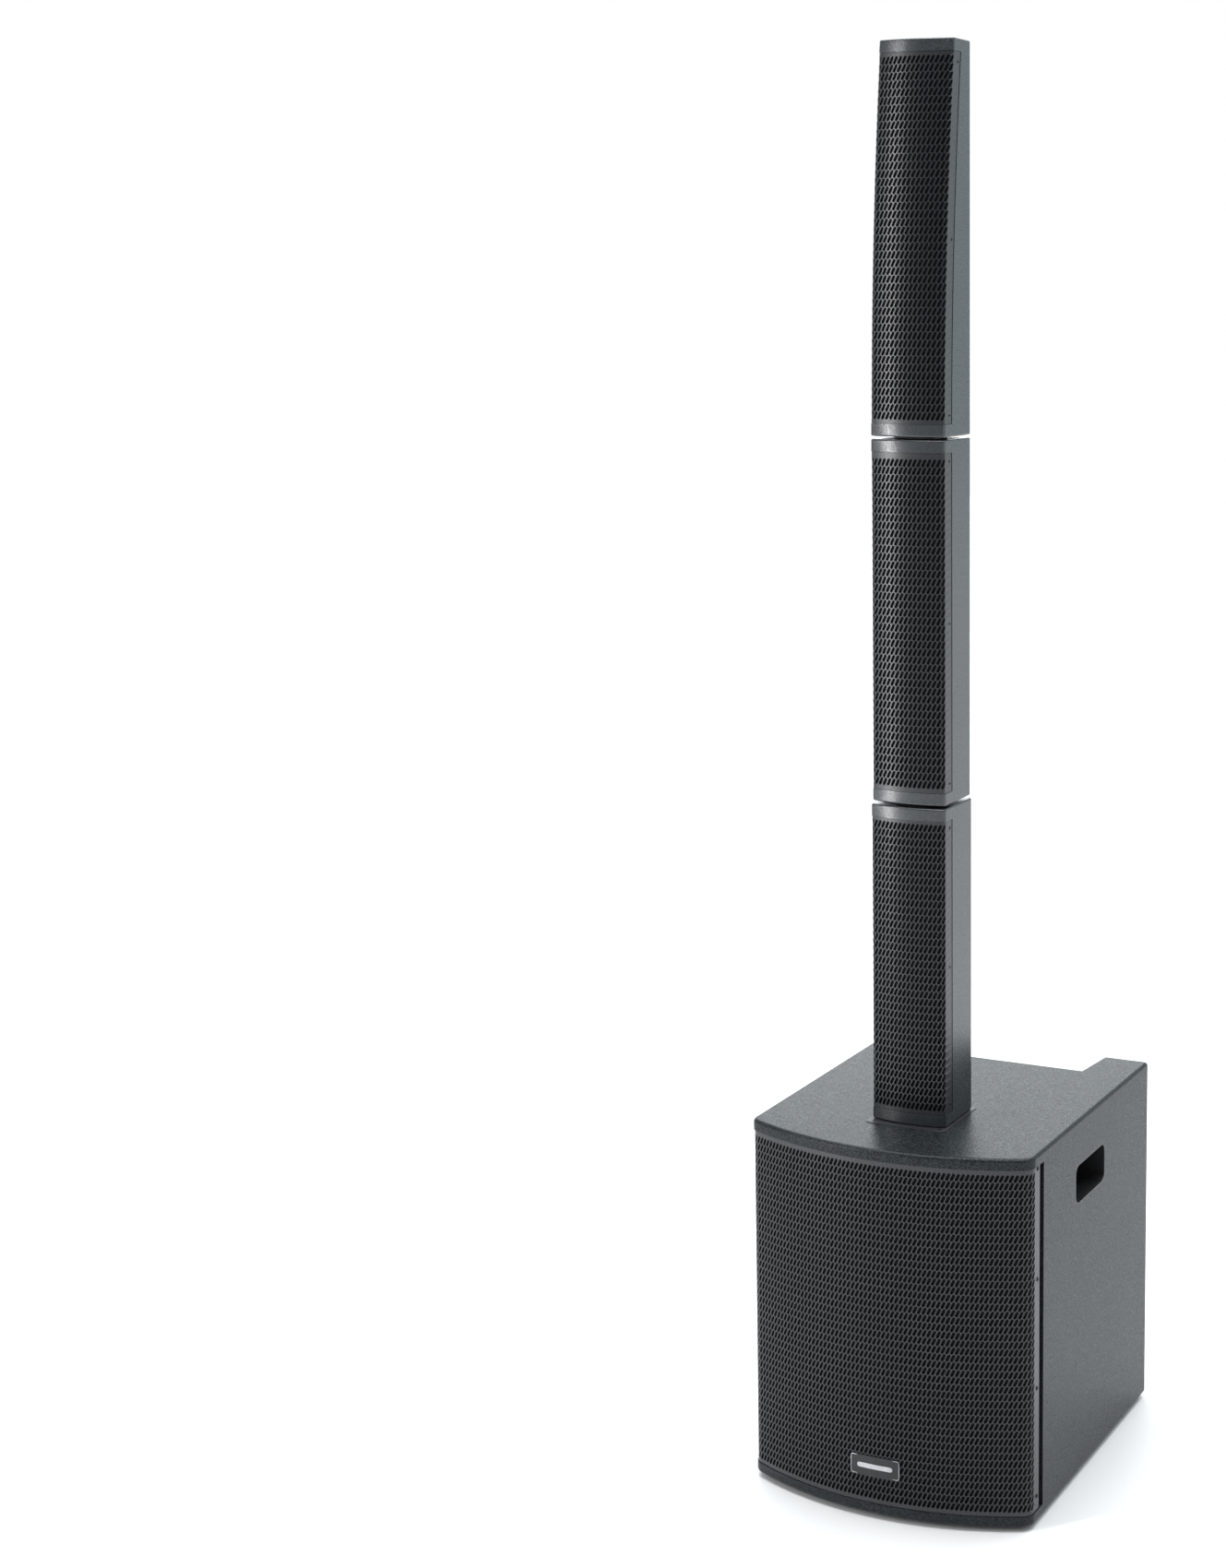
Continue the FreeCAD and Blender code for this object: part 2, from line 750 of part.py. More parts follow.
def woofer_basket():
    """Cast basket: a rim on the baffle, a tapered wall with six windows and a seat for the magnet."""
    body = woofer_piece(
        "woofer_basket_blank",
        [
            (137, 5),
            ("dims.woofer_radius", 5),
            ("dims.woofer_radius", 0),
            (140, 0),
            (140, -6),
            (78, -72),
            (78, -86),
            (40, -86),
            (40, -82),
            (74, -82),
            (74, -71),
            (135.5, -5),
            (135.5, 1),
        ],
    )
    sketch = new_sketch(body, "basket_window", offset="0 - 15")
    polygon(sketch, [(84, -24), (126, -40), (126, 40), (84, 24)])
    window = pocket(body, sketch, 52)
    polar_pattern(body, window, sketch, 6)
    return cut("woofer_basket", body, [WOOFER_SCREW_HOLES])


def woofer():
    """The woofer's pieces. The cone, voice coil and dust cap move together along the axis."""
    magnet = woofer_piece("woofer_magnet", [(38, -86), (72, -86), (72, -108), (38, -108)])
    yoke_profile = [
        (0, -86),
        (30, -86),
        (30, -108),
        (70, -108),
        (70, -116),
        (0, -116),
    ]
    yoke = woofer_piece("woofer_yoke", yoke_profile)
    coil = woofer_piece("voice_coil", [(31.2, -44), (33, -44), (33, -100), (31.2, -100)])
    cone_profile = [
        (33.1, -44),
        (34.5, -44),
        (111, -3.5),
        (112.5, -3.5),
        (112.5, -2),
        (110.5, -2),
        (33.1, -42.4),
    ]
    cone = woofer_piece("woofer_cone", cone_profile)
    cap_profile = [(33, -42), (31, -34), (24, -27), (13, -22.5), (0, -21), (0, -22), (13, -23.6),
                   (23.4, -28), (30, -34.7), (32, -42)]
    cap = woofer_piece("dust_cap", cap_profile)
    roll = [(112.7, -3.4), (134.5, -3.4), (134.5, -2.2), (131, -1.6), (127.5, 3.2), (123.6, 5), (119.6, 3.2),
            (116.2, -1.6), (112.7, -2.2)]
    surround = woofer_piece("woofer_surround", roll)
    spider = woofer_piece("woofer_spider", [(33.2, -76), (73.5, -76), (73.5, -75), (33.2, -75)])
    return [magnet, yoke, coil, cone, cap, surround, spider, woofer_basket(), WOOFER_SCREWS]


def port_tubes():
    """Two flared bass-reflex tubes behind the baffle."""
    outer, inner = "dims.port_radius + dims.port_wall", "dims.port_radius"
    profile = [
        (inner, 0),
        (outer, 0),
        (outer, "0 - dims.port_length"),
        (f"{outer} + 6", "0 - dims.port_length - 5"),
        (f"{inner} + 6", "0 - dims.port_length - 5"),
        (inner, "0 - dims.port_length"),
    ]
    tube = turned("port_tube", profile)
    half = value("dims.port_spacing / 2")
    front, height = value("dims.baffle_front"), value("dims.port_middle")
    return copies("port_tubes", tube, [facing((x, front, height), FORWARD) for x in (-half, half)])


# ---------------------------------------------------------------- sockets and plugs of the column


def sleeve_set(name, low, high, middle):
    """Upright sleeves round the guide pins' places, to be fused with a plate."""
    radius = "dims.pin_radius + dims.sleeve_wall"
    return [
        rod(f"{name}_sleeve_{number}", radius, f"({high}) - ({low})", (x, f"{middle} + {y}", low))
        for number, (x, y) in enumerate(PIN_PLACES)
    ]


def bores(name, low, high, middle):
    """Cutting tools for the pins' bores and for the jacks' seats."""
    tools = [
        rod(f"{name}_bore_{number}", "dims.pin_radius + dims.pin_clearance", f"({high}) - ({low})",
            (x, f"{middle} + {y}", low))
        for number, (x, y) in enumerate(PIN_PLACES)
    ]
    for number, (x, y) in enumerate(PLUG_PLACES):
        seat = f"({high}) - 30"
        tools.append(rod(f"{name}_jack_{number}", 4, 31, (x, f"{middle} + {y}", seat)))
    return tools


def plate_shape(name, width, depth, low, high, middle, radius):
    body = new_body(name)
    sketch = new_sketch(body, f"{name}_outline", offset=low)
    rounded_rectangle(sketch, 0, middle, width, depth, radius)
    pad(body, sketch, f"({high}) - ({low})")
    return body


def jack_sleeves(name, top, middle):
    """Brass jacks for the contact plugs, flush with the plate that carries them."""
    bore = "dims.plug_radius + 0.1"
    jack = turned(f"{name}_jack", [(bore, -26), (3.95, -26), (3.95, 0), (bore, 0)])
    place = value(middle)
    return [facing((x, place + y, value(top)), UP) for x, y in PLUG_PLACES], jack


def column_socket():
    """Plate in the cabinet's top with a well for the module's pad and sleeves for its pins."""
    middle = "dims.column_middle"
    well_floor = f"({CABINET_TOP} + dims.socket_proud + dims.column_seating - dims.pad_height - 0.3)"
    block_low = f"({well_floor} - 6)"
    bore_low = f"({well_floor} - dims.pin_length - 1)"
    sleeve_low = f"({bore_low} - 3)"
    plate = plate_shape("socket_plate", "dims.socket_width", "dims.socket_depth",
                        f"{SOCKET_TOP} - dims.socket_thickness", SOCKET_TOP, f"{middle} - 4", 6)
    block = plate_shape("socket_block", 83.6, 71.6, block_low, f"{SOCKET_TOP} - 1", middle, 6)
    solid = fuse("socket_solid", [plate, block] + sleeve_set("socket", sleeve_low, block_low, middle))
    well = plate_shape("socket_well", "dims.pad_width + 1", "dims.pad_depth + 1", well_floor,
                       f"{SOCKET_TOP} + 5", middle, 6)
    doc.recompute()
    tools = [well] + bores("socket", bore_low, f"{well_floor} + 1", middle) + [SCREW_HOLES]
    return cut("column_socket", solid, tools)


def socket_contacts():
    """Two brass jacks in the floor of the socket's well."""
    floor = f"({CABINET_TOP} + dims.socket_proud + dims.column_seating - dims.pad_height - 0.3)"
    places, jack = jack_sleeves("socket_contact", floor, "dims.column_middle")
    return copies("socket_contacts", jack, places)


# ---------------------------------------------------------------- column modules

MODULES = ("low", "mid", "top")
DRIVER_ROWS = {"low": (193, 82), "mid": (205, 88), "top": (238, 93)}
DRIVERS = 4


def module_base(module):
    """Height of a module's lower end."""
    height = f"{SOCKET_TOP} + dims.column_seating"
    for below in MODULES[: MODULES.index(module)]:
        height = f"{height} + dims.{below}_height + dims.column_gap"
    return f"({height})"


def module_corner(module):
    return f"(dims.column_middle - dims.{module}_depth / 2)"


def module_rear(module):
    return f"(dims.column_middle + dims.{module}_depth / 2)"


def module_section(module):
    return section(f"dims.{module}_width", "dims.column_bulge", module_corner(module), module_rear(module))


# The top module's front follows an arc that leans back: its radius and the height of its axis
LEAN_RADIUS = "((dims.top_height^2 + dims.top_recession^2) / (2 * dims.top_recession))"
LEAN_AXIS_Y = f"({module_corner('top')} + {LEAN_RADIUS})"


def raised(module, name, outline, low, high, rear=None):
    """A flat outline carried up a module: straight, or along the top module's leaning arc."""
    if module != "top":
        return extruded(name, outline, low, high)
    turn = doc.addObject("Part::Revolution", f"{name}_turn")
    turn.Source = outline
    turn.Axis = LEFT
    turn.setExpression("Base.y", LEAN_AXIS_Y)
    turn.Angle = 1.15 * math.degrees(math.asin(value(f"dims.top_height / {LEAN_RADIUS}")))
    turn.Solid = True
    reach = box(f"{name}_reach", (-FAR, -FAR, low), (FAR, rear or FAR, high))
    doc.recompute()
    item = common(name, turn, reach)
    doc.recompute()
    return item


def leaning(module, height):
    """Where a piece made at height zero goes, at a height up the module's front."""
    if module != "top":
        return FreeCAD.Placement(V(0, 0, height), FreeCAD.Rotation())
    axis = V(0, value(LEAN_AXIS_Y), 0)
    angle = math.degrees(math.asin(height / value(LEAN_RADIUS)))
    return FreeCAD.Placement(V(), FreeCAD.Rotation(LEFT, angle), axis)


def driver_heights(module):
    middle, pitch = DRIVER_ROWS[module]
    return [middle + pitch * (number - (DRIVERS - 1) / 2) for number in range(DRIVERS)]


def driver_places(module):
    face = value(f"{module_corner(module)} + 4")
    forward = facing((0, face, 0), FORWARD)
    return [leaning(module, height).multiply(forward) for height in driver_heights(module)]


driver_frame = turned(
    "driver_frame",
    [
        (33.6, 3), (39, 3), (39, 0), (35.5, 0), (35.5, -3), (23, -27),
        (25, -27), (25, -40), (0, -40), (0, -25), (19, -25), (33.6, -1),
    ],
)
driver_cone = turned(
    "driver_cone",
    [
        (0, -8.5), (5, -9), (9, -11), (11, -13), (27, -1), (28.6, 2),
        (31, 2.8), (33.2, 1.2), (33.2, 0.3), (31, 1.8), (29.4, 1.2), (27.8, -2),
        (11, -14.2), (9.6, -15), (9.6, -21), (8.8, -21), (8.8, -14), (0, -14),
    ],
)


def module_screws(module):
    """The module's own screws: three through each grille flange and four in each end plate."""
    out = value(f"dims.{module}_width / 2 - dims.column_grille_inset")
    y = value(f"{module_corner(module)} + dims.column_flange - 5.5")
    height = value(f"dims.{module}_height")
    places = []
    for up in (27, height / 2, height - 27):
        place = leaning(module, up)
        places.append(place.multiply(facing((out, y, 0), RIGHT)))
        places.append(place.multiply(facing((-out, y, 0), LEFT)))
    ends = [(0.5, DOWN)] if module == "top" else [(0.5, DOWN), (height - 0.5, UP)]
    middle = value("dims.column_middle")
    for end, direction in ends:
        for x in (-36.5, 36.5):
            for offset in (-27.5, 27.5):
                places.append(facing((x, middle + offset, end), direction))
    return screw_set(f"{module}_screws", tiny_screw, places)


def module_enclosure(module, screw_holes):
    """Closed box of a module: bowed bands at its ends, driver openings between them, end plate seats."""
    height = f"dims.{module}_height"
    outline = module_section(module)
    name = f"{module}_enclosure"
    sketch = bowed_outline(new_sketch(None, f"{name}_outline"), outline)
    block = raised(module, f"{name}_block", sketch, "0", height, rear=outline["rear"])
    block = rounded(f"{name}_corners", block, is_upright, "dims.column_corner")
    ends = (lies_at(0), lies_at(value(height)))
    block = rounded(f"{name}_ends", block, lambda edge: ends[0](edge) or ends[1](edge), "dims.column_edge")

    corner, half = module_corner(module), outline["half"]
    face = f"{corner} + 4"
    flange_end = f"{corner} + dims.column_flange"
    seat_half = f"{half} - dims.column_grille_inset - dims.grille_sheet - 0.05"
    seam_end = f"{flange_end} + dims.column_seam"
    front = front_recess(f"{half} + 20", seam_end, f"{half} - 2.2", flange_end, seat_half, face, relief=1)
    front_sketch = polygon(new_sketch(None, f"{name}_front"), front)
    low, high = "dims.column_band", f"{height} - dims.column_band"
    front_space = raised(module, f"{name}_front_space", front_sketch, low, high)

    inner_half = f"{half} - dims.column_wall"
    rear = f"{module_rear(module)} - dims.column_wall"
    inside = mirrored([(inner_half, f"{face} + 5"), (inner_half, rear)])
    inside_sketch = polygon(new_sketch(None, f"{name}_inside"), inside)
    hollow = raised(module, f"{name}_hollow", inside_sketch, "6", f"{height} - 6", rear=rear)

    hole = rod(f"{name}_driver_hole", 35.8, 20, (0, 0, -12))
    doc.recompute()
    holes = copies(f"{name}_driver_holes", hole, driver_places(module))
    tools = [front_space, hollow, holes, screw_holes]
    ends = [("low", "0")] if module == "top" else [("low", "0"), ("high", height)]
    for end, level in ends:
        inward = "+" if end == "low" else "-"
        floor = f"{level} {inward} dims.end_plate_thickness"
        through = f"{level} {inward} 10"
        first, last = (f"{level} - 1", floor) if end == "low" else (floor, f"{level} + 1")
        tools.append(plate_shape(f"{name}_{end}_seat", "dims.end_plate_width + 0.2",
                                 "dims.end_plate_depth + 0.2", first, last,
                                 "dims.column_middle", "dims.end_plate_radius"))
        first, last = (f"{level} - 1", through) if end == "low" else (through, f"{level} + 1")
        tools.append(plate_shape(f"{name}_{end}_opening", "dims.end_plate_width - 20",
                                 "dims.end_plate_depth - 16", first, last, "dims.column_middle", 5))
    return cut(name, block, tools)


def module_grille(module, screw_holes):
    """Bowed steel grille between the bands, with a flange folded back along each side."""
    gap = 0.3
    name = f"{module}_grille"
    low, high = f"dims.column_band + {gap}", f"dims.{module}_height - dims.column_band - {gap}"
    skins = []
    for side, amount, corner in (("outside", "dims.column_grille_inset", 3.5),
                                 ("inside", "dims.column_grille_inset + dims.grille_sheet", 2)):
        outline = inset(module_section(module), amount)
        sketch = bowed_outline(new_sketch(None, f"{name}_{side}_outline"), outline)
        block = raised(module, f"{name}_{side}", sketch, low, high)
        skins.append(rounded(f"{name}_{side}_rounded", block, is_front_upright, corner))
    skin = cut(f"{name}_skin", skins[0], [skins[1]])
    flange = f"{module_corner(module)} + dims.column_flange"
    keep = polygon(new_sketch(None, f"{name}_keep"), mirrored([(100, -FAR), (100, flange)]))
    reach = raised(module, f"{name}_kept", keep, low, high)
    return cut(name, common(f"{name}_blank", skin, reach), [screw_holes])


def bottom_plate(module, screw_holes):
    """End plate with the raised pad that the module stands on, drilled for its pins and plugs."""
    name = f"{module}_bottom_plate"
    middle = "dims.column_middle"
    plate = plate_shape(f"{name}_plate", "dims.end_plate_width", "dims.end_plate_depth", "0",
                        "dims.end_plate_thickness", middle, "dims.end_plate_radius")
    foot = plate_shape(f"{name}_pad", "dims.pad_width", "dims.pad_depth", "0 - dims.pad_height",
                       "1", middle, 5)
    solid = fuse(f"{name}_solid", [plate, foot])
    tools = [screw_holes]
    for number, (x, y) in enumerate(PIN_PLACES):
        place = (x, f"{middle} + {y}", -20)
        tools.append(rod(f"{name}_pin_hole_{number}", "dims.pin_radius + 0.05", 40, place))
    for number, (x, y) in enumerate(PLUG_PLACES):
        tools.append(rod(f"{name}_plug_hole_{number}", 3.5, 40, (x, f"{middle} + {y}", -20)))
    doc.recompute()
    return cut(name, solid, tools)


def guide_pins(module):
    """Three steel pins that carry the module in the sleeves of the piece below it."""
    end = "0 - dims.pad_height - dims.pin_length"
    radius = "dims.pin_radius"
    profile = [
        (0, end),
        (f"{radius} - 0.8", end),
        (radius, f"{end} + 0.8"),
        (radius, 4),
        (f"{radius} + 1.5", 4),
        (f"{radius} + 1.5", 9),
        (0, 9),
    ]
    pin = turned(f"{module}_pin", profile)
    middle = value("dims.column_middle")
    return copies(f"{module}_guide_pins", pin, [facing((x, middle + y, 0), UP) for x, y in PIN_PLACES])


def contacts(module):
    """Two contact plugs below the module, and two jacks above it unless it is the top one."""
    end = "0 - dims.pad_height - dims.plug_length"
    radius = "dims.plug_radius"
    profile = [
        (0, end),
        (0.5, end),
        (f"{radius} - 0.1", f"{end} + 4"),
        (radius, f"{end} + 5"),
        (f"{radius} - 0.5", f"{end} + 7"),
        (f"{radius} - 0.5", "0 - dims.pad_height"),
        (3.5, "0 - dims.pad_height"),
        (3.5, 8),
        (0, 8),
    ]
    plug = turned(f"{module}_plug", profile)
    middle = value("dims.column_middle")
    shapes = [plug.Shape.transformed(facing((x, middle + y, 0), UP).toMatrix(), True) for x, y in PLUG_PLACES]
    if module != "top":
        places, jack = jack_sleeves(f"{module}_contact", f"dims.{module}_height", "dims.column_middle")
        shapes += [jack.Shape.transformed(place.toMatrix(), True) for place in places]
    item = doc.addObject("Part::Feature", f"{module}_contacts")
    item.Shape = Part.makeCompound(shapes)
    return item


def top_plate(module, screw_holes):
    """End plate at the module's top, with sleeves for the next module's pins and seats for its jacks."""
    name = f"{module}_top_plate"
    middle = "dims.column_middle"
    top = f"dims.{module}_height"
    low = f"({top} - dims.end_plate_thickness)"
    bore_low = f"({top} - dims.pin_length - 1)"
    plate = plate_shape(f"{name}_plate", "dims.end_plate_width", "dims.end_plate_depth", low, top, middle,
                        "dims.end_plate_radius")
    block = plate_shape(f"{name}_block", "dims.end_plate_width - 20.4", "dims.end_plate_depth - 16.4",
                        f"{low} - 5", f"{low} + 1", middle, 4.8)
    sleeves = sleeve_set(name, f"{bore_low} - 3", f"{low} + 1", middle)
    solid = fuse(f"{name}_solid", [plate, block] + sleeves)
    doc.recompute()
    return cut(name, solid, bores(name, bore_low, f"{top} + 1", middle) + [screw_holes])


def module_pieces(module):
    """All the nodes of one module, lifted to where it stands."""
    screws, holes = module_screws(module)
    pieces = [
        screws,
        module_enclosure(module, holes),
        module_grille(module, holes),
        bottom_plate(module, holes),
        guide_pins(module),
        contacts(module),
        copies(f"{module}_drivers", driver_frame, driver_places(module)),
        copies(f"{module}_driver_cones", driver_cone, driver_places(module)),
    ]
    if module != "top":
        pieces.append(top_plate(module, holes))
    for piece in pieces:
        piece.setExpression(".Placement.Base.z", module_base(module))
    return pieces


# ---------------------------------------------------------------- amplifier


COMBO_PLACES = [(78, "dims.jack_row"), (36, "dims.jack_row")]
RCA_PLACES = [(-6, "dims.jack_row"), (-26, "dims.jack_row")]
KNOB_NAMES = ("input_1_knob", "input_2_knob", "sub_level_knob", "master_knob")
MODE_BUTTON_PLACE = (-58, "dims.jack_row")
INLET_PLACE = (72, 165)
ROCKER_PLACE = (24, 165)
ROCKER_AXIS_DEPTH = 4


def knob_places():
    return [(87 - 58 * number, "dims.knob_row") for number in range(4)]


def panel_face_sketch(body, name):
    """A sketch on the panel's outer face; its plane points towards the front."""
    return new_sketch(body, name, "XZ_Plane", f"0 - {PANEL_FACE}")


def amp_panel():
    """Steel panel that closes the cabinet at the recess, with the openings for its fittings."""
    body = new_body("amp_panel_blank")
    outline = rounded_rectangle(
        panel_face_sketch(body, "panel_outline"),
        0,
        "(dims.panel_low + dims.panel_high) / 2",
        "dims.panel_width",
        "dims.panel_high - dims.panel_low",
        5,
    )
    pad(body, outline, "dims.panel_thickness")
    holes = panel_face_sketch(body, "panel_holes")
    for x, z in COMBO_PLACES:
        circle(holes, x, z, 12)
    for x, z in RCA_PLACES:
        circle(holes, x, z, 5)
    for x, z in knob_places():
        circle(holes, x, z, 3.6)
    circle(holes, *MODE_BUTTON_PLACE, 5)
    rounded_rectangle(holes, *INLET_PLACE, 28, 21, 0.3)
    rounded_rectangle(holes, *ROCKER_PLACE, 22, 29, 0.3)
    pocket(body, holes, "dims.panel_thickness", along=True)
    return cut("amp_panel", body, [SCREW_HOLES])


def heat_sink():
    """Finned aluminium extrusion on the outside of the panel."""
    low, high = 222, 322
    base = box("sink_base", (-95, PANEL_FACE, low), (95, f"{PANEL_FACE} + 5", high))
    fins = [
        box(f"sink_fin_{number}", (-95 + 12.53 * number, f"{PANEL_FACE} + 4", low),
            (-95 + 12.53 * number + 2.4, f"{PANEL_FACE} + 30", high))
        for number in range(15)
    ]
    fins.append(box("sink_fin_last", (92.6, f"{PANEL_FACE} + 4", low), (95, f"{PANEL_FACE} + 30", high)))
    sink = fuse("heat_sink_blank", [base] + fins)
    refined = doc.addObject("Part::Refine", "heat_sink")
    refined.Source = sink
    return refined


def amp_board():
    """Circuit board inside the panel, amplifier and power supply in one, with its tall components."""
    back = f"{RECESS_FACE} - 34"
    board = box("board", (-100, f"{back} - 1.6", 205), (100, back, 335))
    parts = [board]
    for number, (x, z) in enumerate([(-70, 230), (-40, 230), (-70, 262), (-40, 262)]):
        parts.append(rod(f"board_capacitor_{number}", 11, 33, (x, f"{back} - 34.4", z), BACKWARD))
    parts.append(box("board_choke", (10, f"{back} - 30", 222), (44, f"{back} - 1", 256)))
    parts.append(box("board_module", (56, f"{back} - 18", 222), (88, f"{back} - 1", 310)))
    return fuse("amp_board", parts)


def fitting_box(name, x, z, width, height, start, end):
    """A block about (x, z), between two distances outwards from the panel's outer face."""
    low = (f"{x} - {width} / 2", f"{PANEL_FACE} + {start}", f"{z} - {height} / 2")
    high = (f"{x} + {width} / 2", f"{PANEL_FACE} + {end}", f"{z} + {height} / 2")
    return box(name, low, high)


def fitting_rod(name, x, z, radius, start, end):
    return rod(name, radius, f"({end}) - ({start})", (x, f"{PANEL_FACE} + {start}", z), BACKWARD)


def mains_inlet():
    """Three-pole appliance inlet: a flange, a deep well and three blades that stand in the well."""
    x, z = INLET_PLACE
    flange = fitting_box("inlet_flange", x, z, 50, 25, 0, 2.5)
    shell = fitting_box("inlet_shell", x, z, 27.8, 20.8, -24, 1)
    well = fitting_box("inlet_well", x, z, 24, 16.2, -20, 6)
    blades = [
        fitting_box(f"inlet_blade_{number}", x + dx, z + dz, 2, 4, -21, -6)
        for number, (dx, dz) in enumerate([(-7, -2), (7, -2), (0, 2)])
    ]
    housing = cut("inlet_housing", fuse("inlet_solid", [flange, shell]), [well])
    return fuse("mains_inlet", [housing] + blades)


def rocker_axle(name, radius, reach):
    """A rod on the rocker's axis, to the same reach on both sides."""
    x, z = ROCKER_PLACE
    return rod(name, radius, 2 * reach, (x - reach, f"{PANEL_FACE} - {ROCKER_AXIS_DEPTH}", z), RIGHT)


def switch_bezel():
    """Frame of the power switch, open where its rocker swings."""
    x, z = ROCKER_PLACE
    rim = fitting_box("bezel_rim", x, z, 25, 32, 0, 2)
    shell = fitting_box("bezel_shell", x, z, 21.8, 28.8, -22, 1)
    opening = fitting_box("bezel_opening", x, z, 18, 25, -14, 6)
    axle_hole = rocker_axle("bezel_axle_hole", 1.56, 10.4)
    return cut("switch_bezel", fuse("bezel_solid", [rim, shell]), [opening, axle_hole])


def power_rocker():
    """Rocker of the power switch, tilted with its off side out, and clear of its frame when it swings."""
    x, z = ROCKER_PLACE
    body = new_body("rocker_body")
    sketch = new_sketch(body, "rocker_side", "YZ_Plane", f"{x} - 8.6")
    profile = [(-6, -7), (1.2, -11.2), (2.6, -11), (1.6, 0), (4.6, 10.4), (3.2, 10.8), (-6, 7)]
    polygon(sketch, [(f"{PANEL_FACE} + {y}", f"{z} + {up}") for y, up in profile])
    pad(body, sketch, 17.2)
    return fuse("power_rocker", [body, rocker_axle("rocker_axle", 1.5, 10.2)])


def combo_jacks():
    """Two combined sockets, each with a jack bore among three contact holes."""
    shapes = []
    for number, (x, z) in enumerate(COMBO_PLACES):
        flange = fitting_box(f"combo_flange_{number}", x, z, 26, 31, 0, 2)
        barrel = fitting_rod(f"combo_barrel_{number}", x, z, 11.9, -26, 1)
        tools = [fitting_rod(f"combo_bore_{number}", x, z, 3.25, -24, 5)]
        for turn in (90, 210, 330):
            dx, dz = 8 * math.cos(math.radians(turn)), 8 * math.sin(math.radians(turn))
            tools.append(fitting_rod(f"combo_contact_{number}_{turn}", x + dx, f"{z} + {dz}", 1.3, -16, 5))
        shapes.append(cut(f"combo_{number}", fuse(f"combo_solid_{number}", [flange, barrel]), tools))
    group = doc.addObject("Part::Compound", "combo_jacks")
    group.Links = shapes
    return group


def rca_jacks():
    """Two phono sockets, each a collar round a hollow contact."""
    jack = turned(
        "rca_jack",
        [(1.7, -14), (4.8, -14), (4.8, 0), (6, 0), (6, 1.5), (4.2, 1.5), (4.2, 9), (1.7, 9)],
    )
    face = value(PANEL_FACE)
    places = [facing((x, face, value(z)), BACKWARD) for x, z in RCA_PLACES]
    return copies("rca_jacks", jack, places)


def potentiometers():
    """Rotary controls behind the panel, their shafts through it."""
    outline = [(0, -15), (8, -15), (8, -3.1), (3.5, -3.1), (3.5, 4), (2.9, 4), (2.9, 11), (0, 11)]
    pot = turned("potentiometer", outline)
    face = value(PANEL_FACE)
    return copies("potentiometers", pot, [facing((x, face, value(z)), BACKWARD) for x, z in knob_places()])


def knob(name, x, z):
    """Knurled knob with a pointer groove, on its control's shaft."""
    body = turned(
        name,
        [
            (2.95, 5),
            ("dims.knob_radius", 5),
            ("dims.knob_radius", 7),
            ("dims.knob_radius * 0.86", 9),
            ("dims.knob_radius * 0.8", 19),
            ("dims.knob_radius * 0.72", 20),
            (0, 20),
            (0, 11.2),
            (2.95, 11.2),
        ],
        (x, PANEL_FACE, z),
        BACKWARD,
    )
    flute = circle(new_sketch(body, f"{name}_flute", offset="21"), "dims.knob_radius * 0.95", 0, 1.6)
    polar_pattern(body, pocket(body, flute, 11), flute, 12)
    pointer = [(3, -0.6), (12, -0.6), (12, 0.6), (3, 0.6)]
    pocket(body, polygon(new_sketch(body, f"{name}_pointer", offset="21"), pointer), 1.8)
    return body


def mode_button():
    """Round push button that travels into the panel."""
    x, z = MODE_BUTTON_PLACE
    profile = [(0, -4), (4.6, -4), (4.6, 3.6), (4, 4.2), (0, 4.2)]
    return turned("mode_button", profile, (x, PANEL_FACE, z), BACKWARD)


# ---------------------------------------------------------------- the whole object

nodes = [
    cabinet_shell(),
    front_baffle(),
    sub_grille(),
    badge(),
    handle_cup("right_handle_cup", 1),
    handle_cup("left_handle_cup", -1),
    feet(),
    SCREWS,
    *woofer(),
    port_tubes(),
    column_socket(),
    socket_contacts(),
    amp_panel(),
    heat_sink(),
    amp_board(),
    mains_inlet(),
    switch_bezel(),
    power_rocker(),
    combo_jacks(),
    rca_jacks(),
    potentiometers(),
    *[knob(name, *place) for name, place in zip(KNOB_NAMES, knob_places())],
    mode_button(),
]
for module_name in MODULES:
    nodes += module_pieces(module_name)
doc.recompute()

for item in doc.Objects:
    if "Invalid" in item.State or "Error" in item.State:
        raise RuntimeError(f"{item.Name} failed: {item.getStatusString()}")
for node in nodes:
    if node.Shape.isNull() or not node.Shape.isValid():
        raise RuntimeError(f"{node.Label} has no valid shape")
    node.Shape.exportStep(f"parts/{node.Label}.step")
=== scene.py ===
import json
import math

import bmesh
import bpy
from mathutils import Matrix, Vector


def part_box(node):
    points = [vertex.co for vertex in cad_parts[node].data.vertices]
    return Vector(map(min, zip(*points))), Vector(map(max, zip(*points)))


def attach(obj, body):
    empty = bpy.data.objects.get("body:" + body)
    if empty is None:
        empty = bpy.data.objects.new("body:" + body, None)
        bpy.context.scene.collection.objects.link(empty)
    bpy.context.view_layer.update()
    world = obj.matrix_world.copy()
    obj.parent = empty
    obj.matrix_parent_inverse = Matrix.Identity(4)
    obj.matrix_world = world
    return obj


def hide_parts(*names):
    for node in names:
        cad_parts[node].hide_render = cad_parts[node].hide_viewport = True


# Looks of a column loudspeaker system. Lengths are in metres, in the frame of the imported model:
# +Z up, the grilles face -Y, and the floor is at z = 0.

